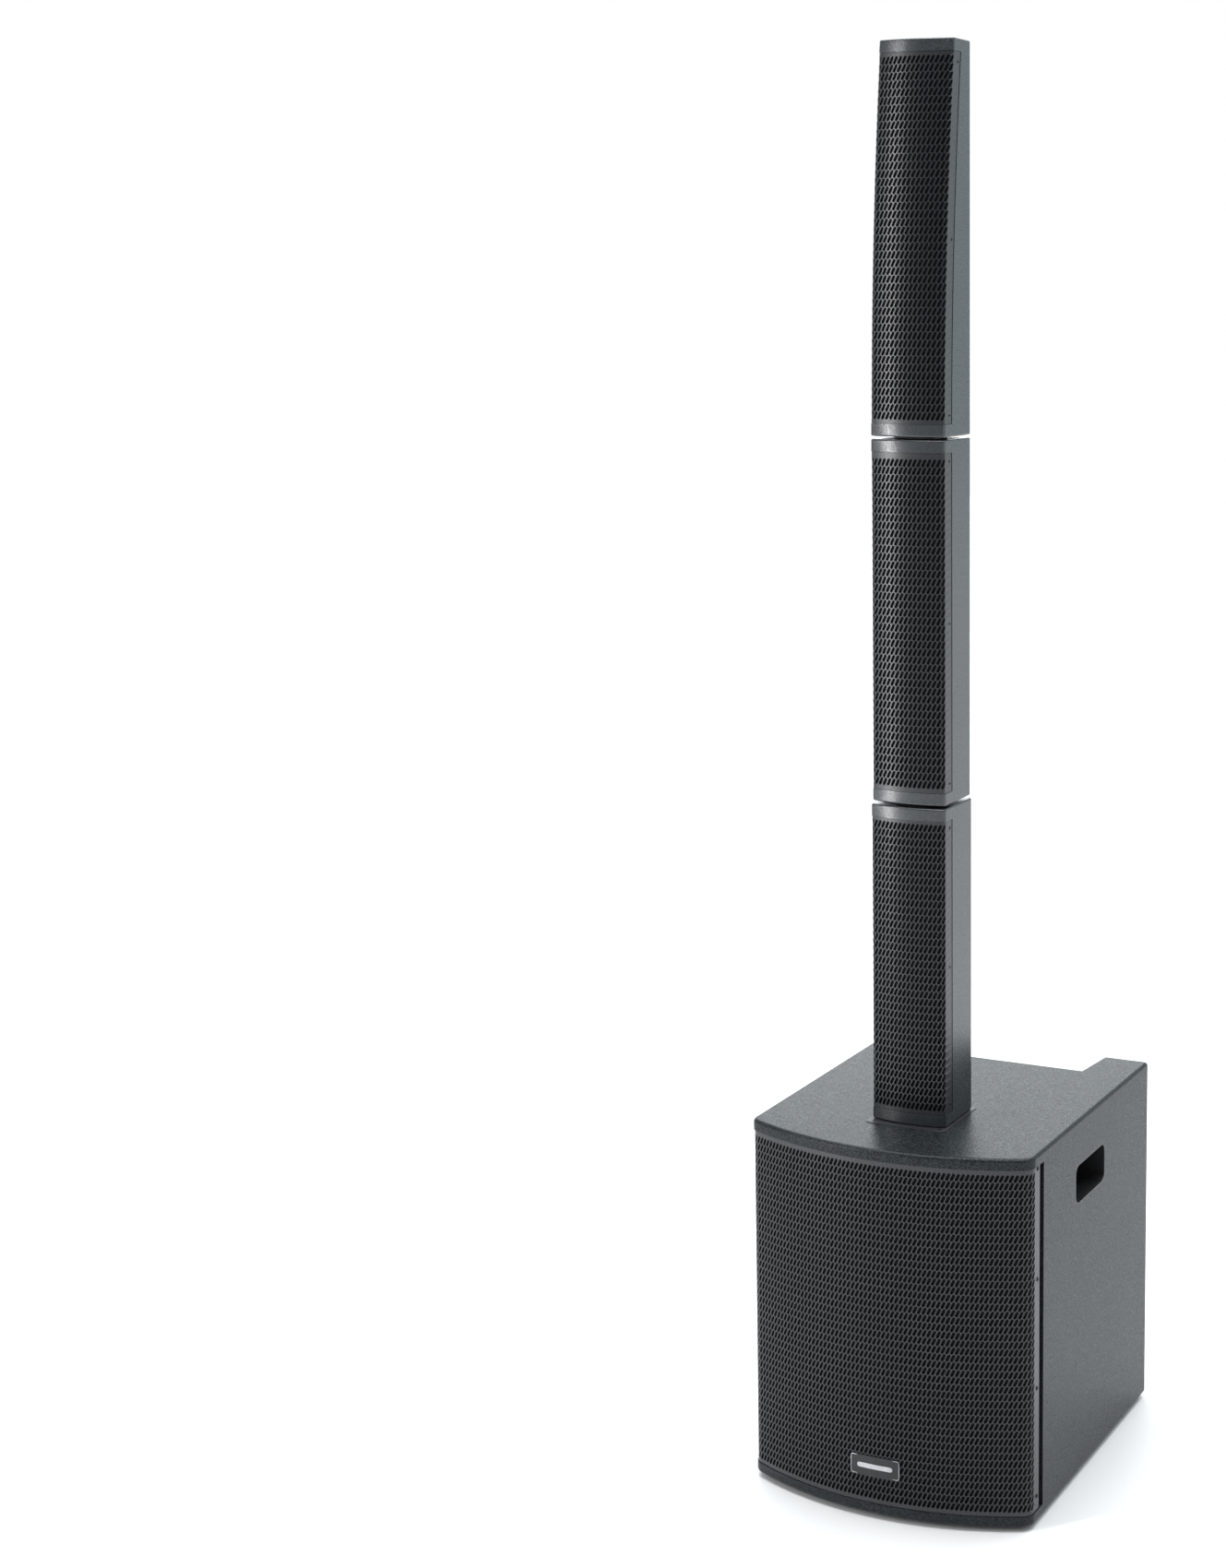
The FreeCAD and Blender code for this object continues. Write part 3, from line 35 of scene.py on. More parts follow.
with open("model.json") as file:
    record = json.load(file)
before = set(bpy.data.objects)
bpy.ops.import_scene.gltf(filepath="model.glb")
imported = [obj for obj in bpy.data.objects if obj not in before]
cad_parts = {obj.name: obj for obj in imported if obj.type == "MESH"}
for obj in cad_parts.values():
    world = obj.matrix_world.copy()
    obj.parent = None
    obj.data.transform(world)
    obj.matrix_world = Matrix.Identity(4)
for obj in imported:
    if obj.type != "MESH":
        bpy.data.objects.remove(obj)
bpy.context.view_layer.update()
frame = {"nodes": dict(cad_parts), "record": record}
NODES = frame["nodes"]
MM = 0.001
MODULES = ("low", "mid", "top")
CABINET_BULGE = 47 * MM
COLUMN_BULGE = 7.5 * MM
SCENE = bpy.context.scene


# ---------------------------------------------------------------- materials


class Surface:
    """A node material that is built step by step: colour, roughness and relief."""

    def __init__(self, name, rough=0.5, metallic=0.0, coat=0.0, specular=0.5):
        self.material = bpy.data.materials.new(name)
        self.material.use_nodes = True
        self.tree = self.material.node_tree
        self.shader = self.tree.nodes["Principled BSDF"]
        self.shader.inputs["Roughness"].default_value = rough
        self.shader.inputs["Metallic"].default_value = metallic
        self.shader.inputs["Coat Weight"].default_value = coat
        self.shader.inputs["Specular IOR Level"].default_value = specular
        self.place = self.node("ShaderNodeTexCoord").outputs["Object"]
        self.relief = None

    def node(self, kind, **settings):
        item = self.tree.nodes.new(kind)
        for key, setting in settings.items():
            setattr(item, key, setting)
        return item

    def link(self, start, end):
        self.tree.links.new(start, end)

    def noise(self, size, detail=3.0, stretch=None):
        """Cloudy noise with features of that size. A stretch gives the scale along x, y and z."""
        item = self.node("ShaderNodeTexNoise")
        item.inputs["Scale"].default_value = 1 / size
        item.inputs["Detail"].default_value = detail
        place = self.place
        if stretch:
            mapping = self.node("ShaderNodeMapping")
            mapping.inputs["Scale"].default_value = stretch
            self.link(self.place, mapping.inputs["Vector"])
            place = mapping.outputs["Vector"]
        self.link(place, item.inputs["Vector"])
        return item.outputs["Fac"]

    def pebbles(self, size):
        """Rounded grains of that size, from 0 in the middle of a grain to 1 between grains."""
        item = self.node("ShaderNodeTexVoronoi", feature="SMOOTH_F1")
        item.inputs["Scale"].default_value = 1 / size
        item.inputs["Smoothness"].default_value = 0.6
        self.link(self.place, item.inputs["Vector"])
        return item.outputs["Distance"]

    def ramp(self, source, low, high, start=0.35, end=0.65):
        """A colour that goes from low to high as the source goes from start to end."""
        item = self.node("ShaderNodeValToRGB")
        first, last = item.color_ramp.elements
        first.position, last.position = start, end
        first.color, last.color = (*low, 1), (*high, 1)
        self.link(source, item.inputs["Fac"])
        return item.outputs["Color"]

    def mix(self, fac, one, other, blend="MIX"):
        item = self.node("ShaderNodeMix", data_type="RGBA", blend_type=blend)
        item.inputs["Factor"].default_value = fac
        self.link(one, item.inputs[6])
        self.link(other, item.inputs[7])
        return item.outputs[2]

    def colour(self, source):
        self.link(source, self.shader.inputs["Base Color"])
        return self

    def roughness(self, source, low, high):
        item = self.node("ShaderNodeMapRange")
        item.inputs["From Min"].default_value = 0.3
        item.inputs["From Max"].default_value = 0.7
        item.inputs["To Min"].default_value = low
        item.inputs["To Max"].default_value = high
        self.link(source, item.inputs["Value"])
        self.link(item.outputs["Result"], self.shader.inputs["Roughness"])
        return self

    def bump(self, source, depth):
        """Adds relief of that depth, on top of any that is there."""
        item = self.node("ShaderNodeBump")
        item.inputs["Strength"].default_value = 1
        item.inputs["Distance"].default_value = depth
        self.link(source, item.inputs["Height"])
        if self.relief:
            self.link(self.relief, item.inputs["Normal"])
        self.relief = item.outputs["Normal"]
        self.link(self.relief, self.shader.inputs["Normal"])
        return self


def shade(colour, factor):
    return tuple(part * factor for part in colour)


def textured_paint(name, colour, grain, depth, rough, painted_grain_light=0.5, specular=0.5):
    """Sprayed paint with a fine pebbled texture: the relief and gloss let the grains catch light, and
    the colour is also painted lighter on the raised grains and darker in the gaps, a painted highlight
    and painted shade.
    """
    surface = Surface(name, specular=specular)
    clouds = surface.noise(60 * MM, 2)
    coarse = surface.noise(grain, 3)
    base = surface.ramp(clouds, shade(colour, 0.94), shade(colour, 1.06))
    # Painted highlight and shade: the colour is lighter on the raised grains and darker in the low gaps
    # of the same noise as the relief.
    grain_light_and_shade = surface.ramp(coarse, (1 - painted_grain_light,) * 3, (1 + painted_grain_light,) * 3, 0.38, 0.62)
    surface.colour(surface.mix(1.0, base, grain_light_and_shade, "MULTIPLY"))
    surface.roughness(coarse, rough + 0.08, rough - 0.08)
    surface.bump(surface.pebbles(grain * 0.6), -depth)
    surface.bump(coarse, depth * 1.5)
    return surface.material


def moulded(name, colour, rough, texture=0.35 * MM, depth=0.01 * MM, coat=0.0):
    """Moulded plastic: faint colour drift, a fine spark texture and slightly uneven gloss."""
    surface = Surface(name, coat=coat)
    drift = surface.noise(35 * MM, 3)
    fine = surface.noise(texture, 2)
    surface.colour(surface.ramp(drift, shade(colour, 0.9), shade(colour, 1.1)))
    surface.roughness(surface.noise(8 * MM, 3), rough - 0.06, rough + 0.06)
    surface.bump(fine, depth)
    return surface.material


def metal(name, colour, rough, brush=(1, 1, 1), depth=0.004 * MM, metallic=1.0):
    """Metal with faint tool marks along one direction and uneven sheen."""
    surface = Surface(name, metallic=metallic)
    marks = surface.noise(0.6 * MM, 3, brush)
    drift = surface.noise(18 * MM, 3)
    surface.colour(surface.ramp(drift, shade(colour, 0.88), shade(colour, 1.08)))
    surface.roughness(marks, max(rough - 0.07, 0.03), rough + 0.09)
    surface.bump(marks, depth)
    return surface.material


def fibres(name, colour, size, depth, rough=0.9, spread=0.3):
    """Pressed pulp, cloth or foam: a rough, matte tangle."""
    surface = Surface(name, rough=rough, specular=0.25)
    tangle = surface.noise(size, 5)
    surface.colour(surface.ramp(tangle, shade(colour, 1 - spread), shade(colour, 1 + spread)))
    surface.bump(tangle, depth)
    return surface.material


def woven(name, colour, pitch, depth):
    """Resin-treated cloth: two crossing sets of threads."""
    surface = Surface(name, rough=0.8)
    sets = []
    for direction in ("X", "Z"):
        threads = surface.node("ShaderNodeTexWave", bands_direction=direction)
        threads.inputs["Scale"].default_value = 0.5 / pitch
        surface.link(surface.place, threads.inputs["Vector"])
        sets.append(threads.outputs["Color"])
    cloth = surface.mix(0.5, *sets)
    surface.colour(surface.ramp(cloth, shade(colour, 0.7), shade(colour, 1.15)))
    surface.bump(cloth, depth)
    return surface.material


CABINET_GREY = (0.017, 0.020, 0.022)
COLUMN_GREY = (0.030, 0.034, 0.038)
GRILLE_GREY = (0.020, 0.021, 0.024)

FINISHES = {
    "cabinet_paint": textured_paint(
        "cabinet_paint", CABINET_GREY, 1.9 * MM, 0.16 * MM, 0.32, painted_grain_light=0.8, specular=0.17
    ),
    "baffle_board": fibres("baffle_board", (0.02, 0.02, 0.02), 0.8 * MM, 0.05 * MM),
    "grille_steel": textured_paint("grille_steel", GRILLE_GREY, 1.0 * MM, 0.02 * MM, 0.3, 0.3),
    "badge_metal": metal("badge_metal", (0.03, 0.03, 0.033), 0.3, (1, 1, 14), metallic=0.4),
    "handle_plastic": moulded("handle_plastic", (0.012, 0.012, 0.013), 0.42),
    "foot_rubber": moulded("foot_rubber", (0.014, 0.014, 0.014), 0.75, 0.8 * MM, 0.03 * MM),
    "black_screws": metal("black_screws", (0.02, 0.02, 0.022), 0.32, metallic=0.6),
    "ferrite": fibres("ferrite", (0.05, 0.05, 0.055), 0.5 * MM, 0.02 * MM, 0.6, 0.15),
    "plated_steel": metal("plated_steel", (0.6, 0.58, 0.5), 0.35),
    "coil": metal("coil", (0.55, 0.25, 0.1), 0.35, (1, 12, 1), 0.03 * MM),
    "cone_paper": fibres("cone_paper", (0.022, 0.022, 0.024), 1.2 * MM, 0.08 * MM),
    "cap_paper": fibres("cap_paper", (0.025, 0.025, 0.027), 0.9 * MM, 0.05 * MM, 0.8),
    "surround_rubber": moulded("surround_rubber", (0.016, 0.016, 0.016), 0.55),
    "spider_cloth": woven("spider_cloth", (0.45, 0.3, 0.1), 0.9 * MM, 0.1 * MM),
    "basket_metal": textured_paint(
        "basket_metal", (0.03, 0.03, 0.032), 0.5 * MM, 0.02 * MM, 0.4, 0.1
    ),
    "port_plastic": moulded("port_plastic", (0.015, 0.015, 0.015), 0.5),
    "socket_plastic": moulded("socket_plastic", (0.028, 0.029, 0.032), 0.42, 0.5 * MM, 0.015 * MM),
    "contact_brass": metal("contact_brass", (0.83, 0.6, 0.24), 0.22),
    "panel_steel": textured_paint(
        "panel_steel", (0.022, 0.022, 0.024), 0.4 * MM, 0.015 * MM, 0.45, 0.1
    ),
    "sink_aluminium": metal("sink_aluminium", (0.05, 0.05, 0.055), 0.38, (1, 1, 8), metallic=0.85),
    "board": moulded("board", (0.01, 0.09, 0.035), 0.35, 2.5 * MM, 0.03 * MM),
    "fitting_plastic": moulded("fitting_plastic", (0.014, 0.014, 0.015), 0.4),
    "rocker_plastic": moulded("rocker_plastic", (0.016, 0.016, 0.018), 0.2, coat=0.3),
    "jack_plastic": moulded("jack_plastic", (0.018, 0.018, 0.02), 0.35),
    "jack_metal": metal("jack_metal", (0.85, 0.64, 0.28), 0.2),
    "pot_metal": metal("pot_metal", (0.6, 0.6, 0.58), 0.35),
    "knob_plastic": moulded("knob_plastic", (0.02, 0.02, 0.021), 0.42),
    "button_plastic": moulded("button_plastic", (0.5, 0.5, 0.5), 0.3),
    "enclosure_plastic": textured_paint(
        "enclosure_plastic", COLUMN_GREY, 1.6 * MM, 0.04 * MM, 0.24, painted_grain_light=0.5, specular=0.65
    ),
    "plate_plastic": moulded("plate_plastic", (0.018, 0.018, 0.02), 0.4),
    "pin_chrome": metal("pin_chrome", (0.8, 0.8, 0.82), 0.12, (1, 1, 10)),
    "driver_metal": textured_paint(
        "driver_metal", (0.03, 0.03, 0.032), 0.5 * MM, 0.02 * MM, 0.4, 0.1
    ),
}

for entry in frame["record"]["subparts"]:
    node = NODES[entry["node"]]
    node.data.materials.clear()
    node.data.materials.append(FINISHES[entry["material_slot"]])


# ---------------------------------------------------------------- bowed outlines


class Outline:
    """The outer line of a grille from above, from its left flange round the front to its right one."""

    def __init__(self, half, nose, rear, front_radius, corner):
        centre_y = nose + front_radius
        reach = front_radius - corner
        corner_x = half - corner
        corner_y = centre_y - math.sqrt(reach**2 - corner_x**2)
        side_turn = math.atan2(corner_x, centre_y - corner_y)
        straight = rear - corner_y
        bend = corner * (math.pi / 2 - side_turn)
        front = front_radius * 2 * side_turn
        self.half, self.rear, self.corner, self.radius = half, rear, corner, front_radius
        self.corner_at, self.centre_y = Vector((corner_x, corner_y)), centre_y
        self.turn = side_turn
        self.stops = [0, straight, straight + bend, straight + bend + front]
        self.stops += [self.stops[3] + bend, self.stops[3] + bend + straight]
        self.length = self.stops[-1]

    def at(self, along):
        """The point at that distance along the line, and the direction outwards there."""
        stops = self.stops
        if along > self.length / 2:
            point, out = self.at(self.length - along)
            return Vector((-point.x, point.y)), Vector((-out.x, out.y))
        if along <= stops[1]:
            return Vector((-self.half, self.rear - along)), Vector((-1, 0))
        if along <= stops[2]:
            angle = (along - stops[1]) / self.corner
            out = Vector((-math.cos(angle), -math.sin(angle)))
            return Vector((-self.corner_at.x, self.corner_at.y)) + out * self.corner, out
        angle = self.turn - (along - stops[2]) / self.radius
        out = Vector((-math.sin(angle), -math.cos(angle)))
        return Vector((0, self.centre_y)) + out * self.radius, out


class Sheet:
    """A bowed sheet: its outline carried up, straight or along an arc that leans back."""

    def __init__(self, outline, base=0.0, lean_axis=None):
        self.outline, self.base, self.lean_axis = outline, base, lean_axis

    def at(self, along, height, depth=0.0):
        point, out = self.outline.at(along)
        point = point - out * depth
        if self.lean_axis is None:
            return Vector((point.x, point.y, height))
        reach = self.lean_axis - point.y
        rise = height - self.base
        return Vector((point.x, self.lean_axis - math.sqrt(reach**2 - rise**2), height))


def bow_radius(half, bulge):
    return (half**2 + bulge**2) / (2 * bulge)


def grille_sheet(node, case_half, bulge, inset, corner, rear=None, base=0.0, lean_axis=None):
    """The sheet of a CAD grille, from its box and the bow of the case round it."""
    low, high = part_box(node)
    outline = Outline(high.x, low.y, rear or high.y, bow_radius(case_half, bulge) - inset, corner)
    return Sheet(outline, base, lean_axis), low.z, high.z


# ---------------------------------------------------------------- perforated grilles

THICKNESS = 1.4 * MM
SLOT_WIDTH = 4.1 * MM
SLOT_HEIGHT = 10.4 * MM
SLOT_LEAN = math.radians(26)
SLOT_PITCH = 6.2 * MM  # along the sheet
SLOT_ARC = 4  # segments in each round end
END_TO_TIP = SLOT_WIDTH / 2
# From a slot's centre to the centre of its upper round end
TIP = Vector((math.tan(SLOT_LEAN), 1)) * (SLOT_HEIGHT / 2 - END_TO_TIP)


def slot_loop():
    """The points of a slot about its centre, anticlockwise from its upper end's right shoulder."""
    points = []
    for end, first in ((1, 0.0), (-1, math.pi)):
        for step in range(SLOT_ARC + 1):
            angle = first + math.pi * step / SLOT_ARC - SLOT_LEAN
            points.append(TIP * end + Vector((math.cos(angle), math.sin(angle))) * END_TO_TIP)
    return points


class Perforation:
    """Builds a bowed sheet with rows of leaning slots between plain margins.

    Each slot stands in a six-sided cell, and a row's cells reach up between those of the next.
    """

    def __init__(self, sheet, low, high, plain_side, margins, rows):
        self.sheet, self.low, self.high, self.rows = sheet, low, high, rows
        self.mesh = bmesh.new()
        self.cache = {}
        self.length = sheet.outline.length
        self.row_height = (high - low - sum(margins)) / rows
        self.columns = round((self.length - 2 * plain_side) / SLOT_PITCH)
        self.pitch = (self.length - 2 * plain_side) / self.columns
        self.first = Vector((plain_side + self.pitch / 2, low + margins[0] + self.row_height / 2))
        self.forks = self.fork_places()

    def fork_places(self):
        """The six corners of a cell about its slot's centre, anticlockwise."""
        reach = self.row_height - TIP.y
        across = TIP.x - self.pitch / 2
        squares = (2 * TIP.x - self.pitch / 2) ** 2 + reach**2 - (self.pitch / 2) ** 2 - TIP.y**2
        fork = Vector((across, squares / (2 * (self.row_height - 2 * TIP.y))))
        above = Vector((-fork.x, self.row_height - fork.y))
        right = fork + Vector((self.pitch, 0))
        return [right, above, fork, -right, -above, -fork]

    def centre(self, column, row):
        return self.first + Vector((column * self.pitch, row * self.row_height))

    def vertex(self, along, height, back=False):
        key = (round(along * 1e6), round(height * 1e6), back)
        if key not in self.cache:
            depth = THICKNESS if back else 0.0
            self.cache[key] = self.mesh.verts.new(self.sheet.at(along, height, depth))
        return self.cache[key]

    def face(self, places, smooth=False):
        made = self.mesh.faces.new([self.vertex(*place) for place in places])
        made.smooth = smooth

    def cell(self, centre, loop):
        hole = [tuple(centre + point) for point in loop]
        forks = [tuple(centre + fork) for fork in self.forks]
        middle, end = SLOT_ARC // 2, SLOT_ARC
        upper, lower = hole[: end + 1], hole[end + 1:]
        self.face([forks[0], forks[1], *upper[middle::-1]])
        self.face([forks[1], forks[2], *upper[end:middle - 1:-1]])
        self.face([forks[2], forks[3], lower[0], upper[end]])
        self.face([forks[3], forks[4], *lower[middle::-1]])
        self.face([forks[4], forks[5], *lower[end:middle - 1:-1]])
        self.face([forks[5], forks[0], upper[0], lower[end]])
        for one, other in zip(hole, hole[1:] + hole[:1]):
            self.face([one, other, (*other, True), (*one, True)], smooth=True)

    def margin(self, inner, outer):
        """The plain sheet between two lines of the same number of places, inner on the left."""
        for one, other, far_other, far_one in zip(inner, inner[1:], outer[1:], outer):
            self.face([one, far_one, far_other, other])

    def build(self, name):
        loop = slot_loop()
        for row in range(self.rows):
            for column in range(self.columns):
                self.cell(self.centre(column, row), loop)
        right, above, fork, left, below, lower_right = self.forks
        bottom = [self.centre(0, 0) + left]
        top = [self.centre(0, self.rows - 1) + fork]
        for column in range(self.columns):
            bottom += [self.centre(column, 0) + below, self.centre(column, 0) + lower_right]
            last = self.centre(column, self.rows - 1)
            top += [last + above, last + right]
        left_side, right_side = [], []
        for row in range(self.rows):
            left_side += [self.centre(0, row) + left, self.centre(0, row) + fork]
            last = self.centre(self.columns - 1, row)
            right_side += [last + lower_right, last + right]
        self.margin(bottom[::-1], [(place.x, self.low) for place in bottom[::-1]])
        self.margin(top, [(place.x, self.high) for place in top])
        for side, edge in ((left_side[::-1], 0.0), (right_side, self.length)):
            self.margin(side, [(edge, place.y) for place in side])
        self.corners(bottom, top)
        alongs = [0.0] + [place.x for place in bottom] + [self.length]
        self.rim(alongs, self.low, True)
        alongs = [0.0] + [place.x for place in top] + [self.length]
        self.rim(alongs, self.high, False)
        self.ends()
        return self.finish(name)

    def corners(self, bottom, top):
        """The four plain corners, beyond the first and last places of the margins."""
        low, high, length = self.low, self.high, self.length
        start, stop = bottom[0], bottom[-1]
        self.face([(0.0, low), (start.x, low), start, (0.0, start.y)])
        self.face([(stop.x, low), (length, low), (length, stop.y), stop])
        start, stop = top[0], top[-1]
        self.face([(0.0, start.y), start, (start.x, high), (0.0, high)])
        self.face([stop, (length, stop.y), (length, high), (stop.x, high)])

    def rim(self, alongs, height, under):
        """The lower or upper edge, as thick as the sheet."""
        for one, other in zip(alongs, alongs[1:]):
            places = [(one, height, True), (other, height, True), (other, height), (one, height)]
            self.face(places if under else places[::-1])

    def ends(self):
        low, high, length = self.low, self.high, self.length
        self.face([(0.0, high), (0.0, high, True), (0.0, low, True), (0.0, low)])
        self.face([(length, low), (length, low, True), (length, high, True), (length, high)])

    def finish(self, name):
        mesh = bpy.data.meshes.new(name)
        self.mesh.to_mesh(mesh)
        self.mesh.free()
        return new_object(name, mesh)


def new_object(name, mesh, material=None):
    item = bpy.data.objects.new(name, mesh)
    SCENE.collection.objects.link(item)
    if material:
        mesh.materials.append(material)
    return item


LAYER_STEPS = 48
LAYER_LEVELS = 24


def plain_layer(name, sheet, low, high, depth, side, material):
    """A thin layer behind a grille, from edge to edge of its perforated part."""
    mesh = bmesh.new()
    length = sheet.outline.length - 2 * side
    levels = [low + (high - low) * step / LAYER_LEVELS for step in range(LAYER_LEVELS + 1)]
    grid = []
    for step in range(LAYER_STEPS + 1):
        along = side + length * step / LAYER_STEPS
        grid.append([mesh.verts.new(sheet.at(along, level, depth)) for level in levels])
    for one, other in zip(grid, grid[1:]):
        for index in range(len(levels) - 1):
            mesh.faces.new([one[index], other[index], other[index + 1], one[index + 1]])
    made = bpy.data.meshes.new(name)
    mesh.to_mesh(made)
    mesh.free()
    return new_object(name, made, material)


# Black foam behind the grilles. The same black also serves as painted shade at the bottom of the seams.
FOAM_AND_SEAM_SHADE = fibres("foam_and_seam_shade", (0.006, 0.006, 0.0065), 0.8 * MM, 0.2 * MM)


FOAM_INSET = 2 * MM
FOAM_DEPTH = 2.6 * MM


def perforated(node, body, sheet, low, high, plain_side, margins, rows):
    """Replaces a CAD grille with its perforated sheet and the foam behind it."""
    pattern = Perforation(sheet, low, high, plain_side, margins, rows)
    grille = pattern.build(f"{node}_perforated")
    grille.data.materials.append(FINISHES["grille_steel"])
    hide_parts(node)
    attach(grille, body)
    foam_low, foam_high = low + FOAM_INSET, high - FOAM_INSET
    foam = plain_layer(f"{node}_foam", sheet, foam_low, foam_high, FOAM_DEPTH, plain_side * 0.8, FOAM_AND_SEAM_SHADE)
    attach(foam, body)


SEAM = 1.1 * MM
SEAM_SHADE_OVERLAP = 1 * MM
SEAM_SHADE_DEPTH = 1.5 * MM


def seam_shade_strips(module, sheet, low, high):
    """Black strips at the bottom of the seams above and below a column grille: a dark sheet that stands
    for the shade in the seams, painted shade.
    """
    spans = (("lower", low - SEAM, low + SEAM_SHADE_OVERLAP), ("upper", high - SEAM_SHADE_OVERLAP, high + SEAM))
    for end, start, stop in spans:
        # Painted shade: a black strip where the seam's shade falls.
        strip = plain_layer(f"{module}_{end}_seam_shade", sheet, start, stop, SEAM_SHADE_DEPTH, 0, FOAM_AND_SEAM_SHADE)
        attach(strip, f"{module}_module")


sub_sheet, sub_low, sub_high = grille_sheet("sub_grille", 200 * MM, CABINET_BULGE, 1.2 * MM, 16.8 * MM)
SUB_MARGINS = (5.5 * MM, 6 * MM)  # plain sheet below and above the slots
perforated("sub_grille", "bass_cabinet", sub_sheet, sub_low, sub_high, 16 * MM, SUB_MARGINS, 45)

# Rows of slots in each module's grille, and the plain sheet below and above them
ROWS = {
    "low": (38, (5 * MM, 4 * MM)),
    "mid": (42, (6 * MM, 7.6 * MM)),
    "top": (45, (5 * MM, 5 * MM)),
}
LEAN_HEIGHT, LEAN_BACK = 493.3 * MM, 31 * MM
FLANGE = 22 * MM
COLUMN_SIDE = 19 * MM  # plain sheet at each side
for module in MODULES:
    case_low, case_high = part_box(f"{module}_enclosure")
    half = case_high.x
    lean_axis = None
    front = case_low.y + COLUMN_BULGE
    if module == "top":
        lean_axis = front + (LEAN_HEIGHT**2 + LEAN_BACK**2) / (2 * LEAN_BACK)
    sheet, low, high = grille_sheet(
        f"{module}_grille", half, COLUMN_BULGE, 0.5 * MM, 3.5 * MM,
        front + FLANGE, case_low.z, lean_axis,
    )
    rows, margins = ROWS[module]
    perforated(f"{module}_grille", f"{module}_module", sheet, low, high, COLUMN_SIDE, margins, rows)
    seam_shade_strips(module, sheet, low, high)


# ---------------------------------------------------------------- evenly shaded cases


MERGE_DISTANCE = 1e-6
SHARP_ANGLE = math.radians(28)


def skin(node, body):
    """Stands for a CAD node: the same faces, with normals that follow the flat ones."""
    mesh = NODES[node].data.copy()
    mesh.attributes.remove(mesh.attributes["custom_normal"])
    merged = bmesh.new()
    merged.from_mesh(mesh)
    bmesh.ops.remove_doubles(merged, verts=merged.verts, dist=MERGE_DISTANCE)
    merged.to_mesh(mesh)
    merged.free()
    mesh.shade_smooth()
    mesh.set_sharp_from_angle(angle=SHARP_ANGLE)
    item = new_object(f"{node}_skin", mesh)
    item.modifiers.new("even_normals", "WEIGHTED_NORMAL").keep_sharp = True
    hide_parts(node)
    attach(item, body)


skin("cabinet_shell", "bass_cabinet")

BAND = 14.7 * MM
EDGE_RADIUS = 5 * MM
OVERLAP = 2 * MM
CORNER_RADIUS = 18 * MM
PAINT_SKIN = 0.03 * MM
EDGE_STEPS = 12  # across the round edge
BAND_STEPS = 240  # along the front


def band_edge(name, sheet, level, inward):
    """A finely divided skin over the cabinet's front band and the round edge beyond it."""
    profile = [(EDGE_RADIUS + OVERLAP, -PAINT_SKIN)]
    for step in range(EDGE_STEPS + 1):
        angle = math.pi / 2 * step / EDGE_STEPS
        depth, rise = EDGE_RADIUS * (1 - math.sin(angle)), EDGE_RADIUS * (1 - math.cos(angle))
        profile.append((depth, rise - PAINT_SKIN))
    profile.append((0.0, BAND))
    mesh = bmesh.new()
    start, stop = sheet.outline.stops[1] - OVERLAP, sheet.outline.stops[4] + OVERLAP
    columns = []
    for step in range(BAND_STEPS + 1):
        along = start + (stop - start) * step / BAND_STEPS
        column = []
        for depth, rise in profile:
            place = sheet.at(along, level + inward * rise, depth - PAINT_SKIN)
            column.append(mesh.verts.new(place))
        columns.append(column)
    for one, other in zip(columns, columns[1:]):
        for index in range(len(profile) - 1):
            corners = [one[index], one[index + 1], other[index + 1], other[index]]
            mesh.faces.new(corners if inward < 0 else corners[::-1]).smooth = True
    made = bpy.data.meshes.new(name)
    mesh.to_mesh(made)
    mesh.free()
    item = new_object(name, made, FINISHES["cabinet_paint"])
    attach(item, "bass_cabinet")


shell_low, shell_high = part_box("cabinet_shell")
shell_radius = bow_radius(shell_high.x, CABINET_BULGE)
shell_sheet = Sheet(Outline(shell_high.x, shell_low.y, shell_high.y, shell_radius, CORNER_RADIUS))
band_edge("upper_front_edge", shell_sheet, shell_high.z, -1)
band_edge("lower_front_edge", shell_sheet, shell_low.z, 1)
for module in MODULES:
    skin(f"{module}_enclosure", f"{module}_module")


# ---------------------------------------------------------------- badge, handle lips and panel print


def rounded_corners(half_width, half_height, radius, steps=6):
    """The points of a rounded rectangle about its middle, anticlockwise."""
    points = []
    for quarter, (across, up) in enumerate(((1, 1), (-1, 1), (-1, -1), (1, -1))):
        centre = Vector((across * (half_width - radius), up * (half_height - radius)))
        for step in range(steps + 1):
            angle = math.pi / 2 * (quarter + step / steps)
            points.append(centre + Vector((math.cos(angle), math.sin(angle))) * radius)
    return points


def rod_loop(name, places, radius, material, body):
    """A closed round rod through those places."""
    curve = bpy.data.curves.new(name, "CURVE")
    curve.dimensions = "3D"
    curve.bevel_depth = radius
    curve.bevel_resolution = 3
    spline = curve.splines.new("POLY")
    spline.points.add(len(places) - 1)
    for point, place in zip(spline.points, places):
        point.co = (*place, 1)
    spline.use_cyclic_u = True
    item = bpy.data.objects.new(name, curve)
    SCENE.collection.objects.link(item)
    curve.materials.append(material)
    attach(item, body)


SATIN_RIM = metal("satin_rim", (0.5, 0.5, 0.52), 0.28)
badge_low, badge_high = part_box("badge")
badge_half = (badge_high.x - badge_low.x) / 2
badge_rise = (badge_high.z - badge_low.z) / 2
badge_middle = (badge_high.z + badge_low.z) / 2
badge_depth = badge_low.y - sub_sheet.at(sub_sheet.outline.length / 2, badge_middle).y


def on_badge(place, proud=0.0):
    """A place on the badge's bowed face, from one about its middle."""
    along = sub_sheet.outline.length / 2 + place.x
    return sub_sheet.at(along, badge_middle + place.y, badge_depth - proud)


RIM_INSET = 1 * MM
rim_corners = rounded_corners(badge_half - RIM_INSET, badge_rise - RIM_INSET, 2.5 * MM)
rim = [on_badge(place) for place in rim_corners]
rod_loop("badge_rim", rim, 0.45 * MM, SATIN_RIM, "bass_cabinet")

BAR_STEPS = 32
BAR_PROUD = 0.25 * MM


